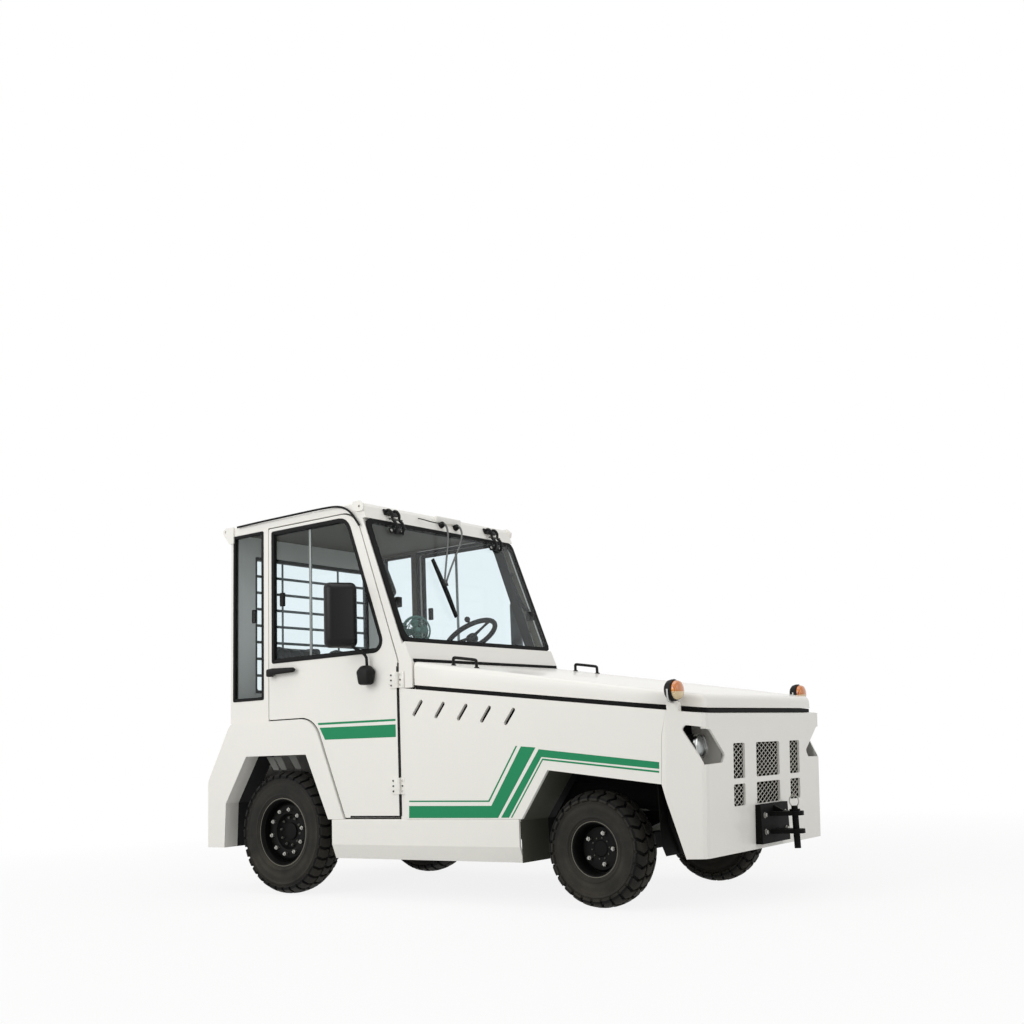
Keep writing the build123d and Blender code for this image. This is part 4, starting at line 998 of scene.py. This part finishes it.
mesh_zinc = plain("expanded_zinc", rgb("B9B7AF"), 0.4, metal=0.25, grain=250, depth=0.25, vary=0.2)
done(net, "vehicle", mesh_zinc)
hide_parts("grille_mesh")
# Painted shade: near black sheets stand in for the dark behind the openings.
gauze_black = plain("gauze_black", rgb("0B0B0B"), 0.9, grain=700, depth=0.6, vary=0.3, shine=0.05)
back = plate("grille_gauze", [Vector((x - 0.008, y, z)) for x, y, z in (
    (low.x, low.y, low.z), (low.x, high.y, low.z), (high.x, high.y, high.z), (high.x, low.y, high.z))],
    (-0.003, 0, 0), width=1)
done(back, "vehicle", gauze_black)
# Painted shade: a near black sheet behind each side's louvre slots.
shade = plate("louvre_gauze_right", [metres(x, -742, z) for x, z in (
    (1108, 1028), (1872, 928), (1872, 1046), (1108, 1130))], (0, 0.003, 0), width=1)
pair(shade, "vehicle", gauze_black)


# ---- splash plates ---------------------------------------------------------------
# A black steel plate behind each side of the front mask keeps the wheel's spray off the
# lamps and the radiator.
splash = plate("nose_splash_right", [metres(2694, y, z) for y, z in (
    (-732, 330), (-732, 688), (-392, 688), (-392, 268), (-690, 268))], (0.003, 0, 0), width=1)
pair(splash, "vehicle", finishes["chassis_black"])


# ---- lamps -----------------------------------------------------------------------
# Round headlamps in plated rings sit deep in their pockets. The corner lamps are black
# shells with a two colour lens on a plated bracket above a white post.
housing_black = plain("lamp_housing", rgb("161616"), 0.5, grain=300, depth=0.25, vary=0.3)
nodes["headlamps"].material_slots[0].material = housing_black


def lit_pocket_wall(wire):
    """1 on a pocket's walls behind the mask, which are sprayed white with it; they get a brighter white than
    the body's, painted light for walls that lie in shade.
    """
    return aside(wire).below(0.66) * ahead(wire).above(2.775)


# Painted light: the pocket walls are a brighter white than the body's enamel.
nodes["headlamp_pockets"].material_slots[0].material = painted(
    "pocket_paint", rgb("202120"), 0.6, 0.0, 0.4, 0.2, covered=(lit_pocket_wall, rgb("F4F2EC"), 0.45))
chrome = plain("plated_ring", rgb("B5B6B4"), 0.16, metal=1.0, grain=60, depth=0.02, vary=0.1)
lens_clear, wire = new_finish("headlamp_lens")
flutes = (along(wire, 1) * 900).maths("SINE") * 0.5 + 0.5
ripple = wire.node("Bump", {}, {"Strength": 0.5, "Distance": 0.001, "Height": flutes})
shader = wire.node("BsdfPrincipled", {}, {
    "Base Color": flutes.mixed(rgb("7E8482"), rgb("C5C9C8")), "Roughness": 0.12, "Metallic": 0.55,
    "Coat Weight": 1.0, "Coat Roughness": 0.03, "Normal": ripple})
wire.node("OutputMaterial", {}, {"Surface": shader})
centre = metres(0, -620, 800)
ring = lathe("headlamp_ring_right", [metres(x, -620, 800 + r) for x, r in (
    (2884, 49), (2890, 50), (2899, 52), (2901, 56), (2897, 62), (2888, 65), (2878, 65), (2878, 49))],
    centre, (1, 0, 0), 48)
pair(ring, "vehicle", chrome)
lens = lathe("headlamp_lens_right", [metres(x, -620, 800 + r) for x, r in (
    (2903, 0), (2902, 14), (2899, 28), (2894, 40), (2888, 50), (2880, 51), (2880, 0))], centre, (1, 0, 0), 48)
pair(lens, "vehicle", lens_clear, smooth=50)

two_colour, wire = new_finish("lens_two_colour")
above = along(wire, 2).above(1.070)
ribs = (along(wire, 1) * 1400).maths("SINE") * 0.5 + 0.5
crests = above.mixed(rgb("E9D9B4"), rgb("E08A1E"))
valleys = above.mixed(rgb("C9A768"), rgb("A8480C"))
bumps = wire.node("Bump", {}, {"Strength": 0.4, "Distance": 0.001, "Height": ribs})
shader = wire.node("BsdfPrincipled", {}, {
    "Base Color": ribs.mixed(valleys, crests), "Roughness": 0.16,
    "Coat Weight": 1.0, "Coat Roughness": 0.04, "Normal": bumps})
wire.node("OutputMaterial", {}, {"Surface": shader})
axis_y, axis_z = -755, 1078
shell = lathe("corner_lamp_shell_right", [metres(x, axis_y, axis_z + r) for x, r in (
    (2796, 0), (2796, 26), (2800, 40), (2810, 50), (2826, 54), (2841, 55), (2845, 53), (2845, 48),
    (2838, 47), (2838, 0))], metres(0, axis_y, axis_z), (1, 0, 0), 40)
pair(shell, "vehicle", moulded_black, smooth=45)
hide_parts("corner_lamps")
lens = lathe("corner_lamp_lens_right", [metres(x, axis_y, axis_z + r) for x, r in (
    (2839, 0), (2839, 46.5), (2849, 48), (2862, 47), (2872, 41), (2877, 28), (2880, 12), (2880, 0))],
    metres(0, axis_y, axis_z), (1, 0, 0), 40)
pair(lens, "vehicle", two_colour, smooth=45)
post = lathe("corner_lamp_post_right", [metres(2822 + r, -740, z) for r, z in (
    (0, 1042), (12, 1042), (15, 1038), (15, 1030), (19, 1028), (22, 1025), (23, 1017), (0, 1017))],
    metres(2822, -740, 0), (0, 0, 1), 24)
pair(post, "vehicle", fitting_paint)
strap = bent_rod("corner_lamp_bracket_right", [
    metres(2828, -697, 1084), metres(2828, -697, 1050), metres(2828, -703, 1022), metres(2828, -755, 1017),
    metres(2828, -807, 1022), metres(2828, -813, 1050), metres(2828, -813, 1084)], 5, sides=8)
pair(strap, "vehicle", chrome, smooth=60)


# ---- hitches ---------------------------------------------------------------------
# Each hitch is a black steel clevis with a drop pin. Two zinc plated bolts hold each side
# of its plate and a split ring is threaded through the head of the pin.
for end, face_x, pin_x, sign in (("front", 2976, 3090, 1), ("rear", -712, -815, -1)):
    for number, (y, z) in enumerate(((-128, 430), (-128, 345), (128, 430), (128, 345))):
        bolt = lathe(f"hitch_bolt_{end}_{number}", [metres(face_x + sign * x, y, z + r) for x, r in (
            (15, 0), (15, 7), (12.5, 11), (3.5, 11.5), (3, 16), (-1, 16), (-1, 0))],
            metres(0, y, z), (1, 0, 0), 6)
        done(bolt, "vehicle", zinc, smooth=25)
    ring_place = metres(pin_x, 0, 494)
    bpy.ops.object.select_all(action="DESELECT")
    bpy.ops.mesh.primitive_torus_add(major_radius=0.026, minor_radius=0.0032, major_segments=32,
                                     minor_segments=8, location=ring_place, rotation=(math.pi / 2, 0, 0))
    ring = bpy.context.object
    ring.name = f"hitch_ring_{end}"
    bpy.ops.object.mode_set(mode="EDIT")
    bpy.ops.mesh.select_all(action="SELECT")
    bpy.ops.transform.resize(value=(1.0, 1.0, 1.12), center_override=ring_place)
    done(ring, "vehicle", zinc)
nodes["hitch_pins"].material_slots[0].material = finishes["chassis_black"]


# ---- bonnet lid ------------------------------------------------------------------
# One sheet steel lid, folded and rounded along its edges and drawn lower towards its
# front. It hinges at its rear edge and closes on a rubber band.
LID_REAR, LID_NOSE, RIM_FALL, TOP_FALL = 1118, 2955, 0.12341, 0.16152


def lid_low(x):
    """Height of the lid's lower edge."""
    return 1211 - (x - 1132) * 204 / 1653


def lid_top(x):
    """Height of the lid's upper face."""
    return lid_low(LID_REAR) + 136 - (x - LID_REAR) * TOP_FALL


lid = plate("bonnet_skin", [metres(x, y, 900) for x, y in (
    (LID_REAR, -745), (2600, -745), (LID_NOSE, -650), (LID_NOSE, 650), (2600, 745), (LID_REAR, 745))],
    (0, 0, 0.6))
bpy.ops.object.mode_set(mode="EDIT")
for point, normal in ((metres(1132, 0, lid_low(1132)), (-RIM_FALL, 0, -1)),
                      (metres(LID_REAR, 0, lid_top(LID_REAR)), (TOP_FALL, 0, 1))):
    bpy.ops.mesh.select_all(action="SELECT")
    bpy.ops.mesh.bisect(plane_co=point, plane_no=normal, use_fill=True, clear_outer=True)
bpy.ops.mesh.select_all(action="SELECT")
bpy.ops.mesh.normals_make_consistent(inside=False)
bpy.ops.mesh.select_mode(type="EDGE")
bpy.ops.mesh.select_all(action="DESELECT")
mesh = bmesh.from_edit_mesh(lid.data)
top_point, top_normal = metres(LID_REAR, 0, lid_top(LID_REAR)), Vector((TOP_FALL, 0, 1)).normalized()
for edge in mesh.edges:
    ends = [vertex.co + Vector(lid.location) for vertex in edge.verts]
    on_top = all(abs((end - top_point).dot(top_normal)) < 0.001 for end in ends)
    at_rear = all(end.x < metres(LID_REAR + 1, 0, 0).x for end in ends)
    upright = abs(ends[0].y - ends[1].y) < 0.01
    at_nose = all(end.x > metres(LID_NOSE - 1, 0, 0).x for end in ends) and upright
    edge.select_set((on_top and not at_rear) or at_nose)
bmesh.update_edit_mesh(lid.data)
bpy.ops.mesh.bevel(offset=0.030, segments=6, affect="EDGES")
faces_where(lambda point, normal: normal.z < -0.9)
bpy.ops.mesh.delete(type="FACE")
shaped(lid, "SOLIDIFY", thickness=0.004, offset=-1)
done(lid, "bonnet", painted("white_enamel_lid", **white_enamel), smooth=30)
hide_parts("bonnet_lid")


# ---- bonnet handles --------------------------------------------------------------
# Two black dipped grab bars are welded to the lid for lifting it, one at each side.
for side, sign in (("right", -1), ("left", 1)):
    y = sign * 640

    def over_lid(x, up):
        return metres(x, y, lid_top(x) + up)

    bar = bent_rod(f"bonnet_grab_{side}", [
        over_lid(1330, -4), over_lid(1330, 24), over_lid(1331, 44), over_lid(1346, 46), over_lid(1415, 46),
        over_lid(1484, 46), over_lid(1499, 44), over_lid(1500, 24), over_lid(1500, -4)], 9, sides=12)
    done(bar, "bonnet", moulded_black, smooth=60)
    for number, x in enumerate((1330, 1500)):
        base = lathe(f"bonnet_grab_foot_{number}_{side}", [
            over_lid(x, up) + Vector((r / 1000, 0, 0)) for r, up in (
                (0, 6), (12, 6), (16, 3), (17, -3), (0, -3))], over_lid(x, 0), (0, 0, 1), 16)
        done(base, "bonnet", moulded_black)


# ---- steering wheel --------------------------------------------------------------
# A moulded rim on a pressed frame with three spokes, a domed hub cap and a turning
# knob, on the splined end of the column.
turn = next(joint for joint in frame["joints"] if joint["name"] == "steering_wheel_turn")
hub, axle = Vector(turn["pos_m"]), Vector(turn["axis"]).normalized()
wheel_frame = Matrix.Translation(hub) @ axle.to_track_quat("Z", "Y").to_matrix().to_4x4()


def on_hub(x, y, z):
    """Point on the steering wheel: x and y across it, z out of it towards the driver."""
    return wheel_frame @ Vector((x / 1000, y / 1000, z / 1000))


bpy.ops.object.select_all(action="DESELECT")
RIM_RADIUS = 0.184
bpy.ops.mesh.primitive_torus_add(major_radius=RIM_RADIUS, minor_radius=0.0175, major_segments=72,
                                 minor_segments=14)
rim = bpy.context.object
rim.name = "steering_rim"
bpy.ops.object.mode_set(mode="EDIT")
faces_where(lambda point, normal: point.z < -0.006 and math.hypot(point.x, point.y) < RIM_RADIUS)
bpy.ops.mesh.inset(thickness=0.0006, use_individual=True, depth=0.0012)
bpy.ops.object.mode_set(mode="OBJECT")
rim.matrix_world = wheel_frame
done(rim, "steering_wheel", moulded_black, smooth=60)
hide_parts("steering_wheel")
cap = lathe("steering_hub", [on_hub(r, 0, z) for r, z in (
    (0, 14), (18, 13), (32, 9), (38, 3), (40, -6), (40, -30), (34, -42), (16, -44), (16, -60), (0, -60))],
    hub, axle, 32)
done(cap, "steering_wheel", moulded_black, smooth=50)
for number, angle in enumerate((90, 210, 330)):
    away = Vector((math.cos(math.radians(angle)), math.sin(math.radians(angle)), 0))
    side = Vector((-away.y, away.x, 0))
    widths = ((30, 19), (80, 13), (130, 11), (174, 15))
    points = [away * a + side * h for a, h in widths] + [away * a - side * h for a, h in reversed(widths)]
    spoke = plate(f"steering_spoke_{number}", [on_hub(p.x, p.y, -14) for p in points],
                  on_hub(0, 0, 9) - on_hub(0, 0, 0), width=2.5)
    done(spoke, "steering_wheel", moulded_black)
knob_x, knob_y = 137, 123
knob = lathe("steering_knob", [on_hub(knob_x + r, knob_y, z) for r, z in (
    (0, 62), (11, 60), (18, 52), (20, 42), (17, 32), (10, 25), (8, 14), (12, 10), (12, 4), (0, 4))],
    on_hub(knob_x, knob_y, 0), axle, 24)
done(knob, "steering_wheel", moulded_black, smooth=60)


# ---- seats -----------------------------------------------------------------------
# Foam cushions and back rests covered in black vinyl, each sewn with a welt round its
# edge and two channels, on a steel base that is bolted to the cab floor.
vinyl, wire = new_finish("black_vinyl")
grain = wire.node("TexVoronoi", {"feature": "DISTANCE_TO_EDGE"}, {"Vector": spot(wire), "Scale": 420.0})
worn = ((noise(wire, 5, 4) - 0.45) * 2.5).clamped()
bumps = wire.node("Bump", {}, {"Strength": 0.35, "Distance": 0.0008, "Height": grain})
wire.node("OutputMaterial", {}, {"Surface": wire.node("BsdfPrincipled", {}, {
    "Base Color": worn.mixed(rgb("1C1D1C"), rgb("34332F")), "Roughness": 0.42 + worn * 0.2,
    "Specular IOR Level": 0.4, "Normal": bumps})})


MOST_SWELL, CHANNEL_AT, CHANNEL_DEEP = 0.018, 0.52, 0.007


def cushion(name, low, high, thin):
    """A pad blown up from a slightly smaller block; thin is the axis that its two channels sink along."""
    middle = (Vector(low) + Vector(high)) / 2
    pad = boxy(name, low, high, 26, segments=3)
    shaped(pad, "REMESH", mode="VOXEL", voxel_size=0.006)
    start = [vertex.co.copy() for vertex in pad.data.vertices]
    cloth = pad.modifiers.new("cloth", "CLOTH")
    cloth.settings.use_pressure = True
    cloth.settings.uniform_pressure_force = 4
    cloth.settings.quality = 4
    cloth.settings.effector_weights.gravity = 0
    for step in range(1, 21):
        bpy.context.scene.frame_set(step)
    bpy.context.view_layer.objects.active = pad
    bpy.ops.object.modifier_apply(modifier="cloth")
    bpy.context.scene.frame_set(1)
    for vertex, before in zip(pad.data.vertices, start):
        moved = vertex.co - before
        if moved.length > MOST_SWELL:
            vertex.co = before + moved.normalized() * MOST_SWELL
        across_pad = (vertex.co.y - (low[1] + high[1]) / 2) / ((high[1] - low[1]) / 2)
        channel = math.exp(-((abs(across_pad) - CHANNEL_AT) * 22) ** 2)
        inward = (middle - vertex.co)[thin]
        vertex.co[thin] += ((inward > 0) - (inward < 0)) * channel * CHANNEL_DEEP
    shaped(pad, "SUBSURF", levels=1, render_levels=1)
    return pad


back_foot = metres(-300, 0, 1092)
lean_back = (Matrix.Translation(back_foot) @ Matrix.Rotation(math.radians(-7), 4, "Y")
             @ Matrix.Translation(-back_foot))
for part, corner_low, corner_high, thin in (
        ("cushion", metres(-186, -486, 972), metres(286, -64, 1074), 2),
        ("back", metres(-352, -486, 1092), metres(-262, -64, 1580), 0)):
    pad = cushion(f"seat_{part}_right", corner_low, corner_high, thin)
    if part == "back":
        pad.data.transform(lean_back)
    pads = pair(pad, "vehicle", vinyl, smooth=60)
    for pad, side in zip(pads, ("right", "left")):
        if part == "cushion":
            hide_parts(f"seat_{side}")
shell_black = plain("seat_shell", rgb("141414"), 0.5, grain=500, depth=0.3, vary=0.2)
shell = boxy("seat_shell_right", metres(-392, -478, 1090), metres(-366, -72, 1520), 12, segments=3)
pair(shell, "vehicle", shell_black)


# ---- rear window guard -----------------------------------------------------------
# Round bars welded to a frame behind the rear pane keep swinging loads off the glass.
bar_grey = painted("guard_paint", rgb("5F6462"), 0.5, 0.0, 0.3, 0.2)
level = bent_rod("guard_level_bars", [metres(-485, -570, 1270), metres(-485, 570, 1270)], 9.5, smooth=False)
shaped(level, "ARRAY", count=9, use_relative_offset=False, use_constant_offset=True,
       constant_offset_displace=(0, 0, 0.113))
done(level, "vehicle", bar_grey, smooth=60)
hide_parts("rear_guard")
standing = bent_rod("guard_upright_bars", [metres(-495, -550, 1252), metres(-495, -550, 2188)], 7.5,
                    smooth=False)
shaped(standing, "ARRAY", count=5, use_relative_offset=False, use_constant_offset=True,
       constant_offset_displace=(0, 0.275, 0))
done(standing, "vehicle", bar_grey, smooth=60)


# ---- fan -------------------------------------------------------------------------
# A small clip-on fan with green blades in a wire cage stands on the dashboard in front
# of the passenger.
fan_middle = metres(930, -500, 1560)
fan_green = plain("fan_green", rgb("5C7F74"), 0.4, grain=100, depth=0.1, vary=0.15)
fan_turn = Matrix.Translation(fan_middle) @ Matrix.Rotation(math.radians(-32), 4, "Z")
for number, (radius, forward) in enumerate(((88, 0), (80, 18), (58, 26), (34, 30), (80, -18), (58, -24))):
    bpy.ops.object.select_all(action="DESELECT")
    bpy.ops.mesh.primitive_torus_add(major_radius=radius / 1000, minor_radius=0.0026 if number else 0.006,
                                     major_segments=40, minor_segments=6)
    ring = bpy.context.object
    ring.name = f"fan_ring_{number}"
    bpy.ops.object.mode_set(mode="EDIT")
    bpy.ops.mesh.select_all(action="SELECT")
    bpy.ops.transform.resize(value=(1.0, 1.0, 1.4))
    bpy.ops.object.mode_set(mode="OBJECT")
    ring.matrix_world = (fan_turn @ Matrix.Translation((forward / 1000, 0, 0))
                         @ Matrix.Rotation(math.pi / 2, 4, "Y"))
    done(ring, "vehicle", fan_green, smooth=60)
spoke = bent_rod("fan_wires", [(0.031, 0, 0), (0.03, 0, 0.034), (0.026, 0, 0.058), (0.018, 0, 0.080),
                               (0, 0, 0.089)], 1.6, sides=6)
around(spoke, 16, (0, 0, 0), "X")
spoke.matrix_world = fan_turn
done(spoke, "vehicle", fan_green, smooth=60)
blade = plate("fan_blades", [Vector(p) / 1000 for p in (
    (-4, -8, 10), (-8, -26, 30), (-9, -36, 56), (-5, -24, 72), (3, -2, 76), (7, 12, 60), (5, 12, 34),
    (3, 7, 12))], (0.002, 0, 0), width=0.5)
around(blade, 4, (0, 0, 0), "X")
blade.matrix_world = fan_turn
done(blade, "vehicle", fan_green)
motor = lathe("fan_motor", [Vector((x / 1000, 0, r / 1000)) for x, r in (
    (34, 0), (33, 12), (28, 20), (-10, 22), (-40, 28), (-62, 26), (-68, 18), (-68, 0))],
    (0, 0, 0), (1, 0, 0), 24)
bpy.ops.object.mode_set(mode="OBJECT")
motor.matrix_world = fan_turn @ motor.matrix_world
done(motor, "vehicle", fan_green, smooth=50)
stalk = bent_rod("fan_stalk", [fan_middle - Vector((0.05, -0.03, 0.02)), metres(905, -478, 1480),
                               metres(915, -490, 1430), metres(930, -500, 1392)], 7, sides=10)
done(stalk, "vehicle", moulded_black, smooth=60)


# ---- grab handles ----------------------------------------------------------------
# A dipped steel grab handle is screwed to each windscreen pillar inside the cab, above
# the door's lock striker.
grab = bent_rod("pillar_grab_left", [metres(790, 702, 2030), metres(796, 672, 2012), metres(812, 660, 1990),
                                     metres(900, 660, 1800), metres(912, 672, 1778), metres(922, 702, 1762)],
                12, sides=12)
pair(grab, "vehicle", moulded_black, smooth=60)
striker = boxy("lock_striker_left", metres(925, 664, 1690), metres(968, 702, 1752), 6, segments=3)
pair(striker, "vehicle", moulded_black)


# ---- wheel arches ----------------------------------------------------------------
# Three pressed brackets, painted over with the body's white, stiffen each rear fender on its
# inner side above the tyre. Their grey is painted shade, the white as it looks under the fender.
# Painted shade: grey for white brackets in the shade under the fender.
bracket_painted_shade = painted("arch_bracket_grey", rgb("8A8B87"), 0.6, 0.0, 0.3, 0.5)
for number, x in enumerate((-268, -196, -62)):
    outline = [metres(x, -632, 836), metres(x + 66, -632, 836), metres(x + 84, -600, 752),
               metres(x + 30, -600, 752)]
    bracket = plate(f"arch_bracket_{number}_right", outline, (0, 0.003, 0.001), width=1)
    pair(bracket, "vehicle", bracket_painted_shade)
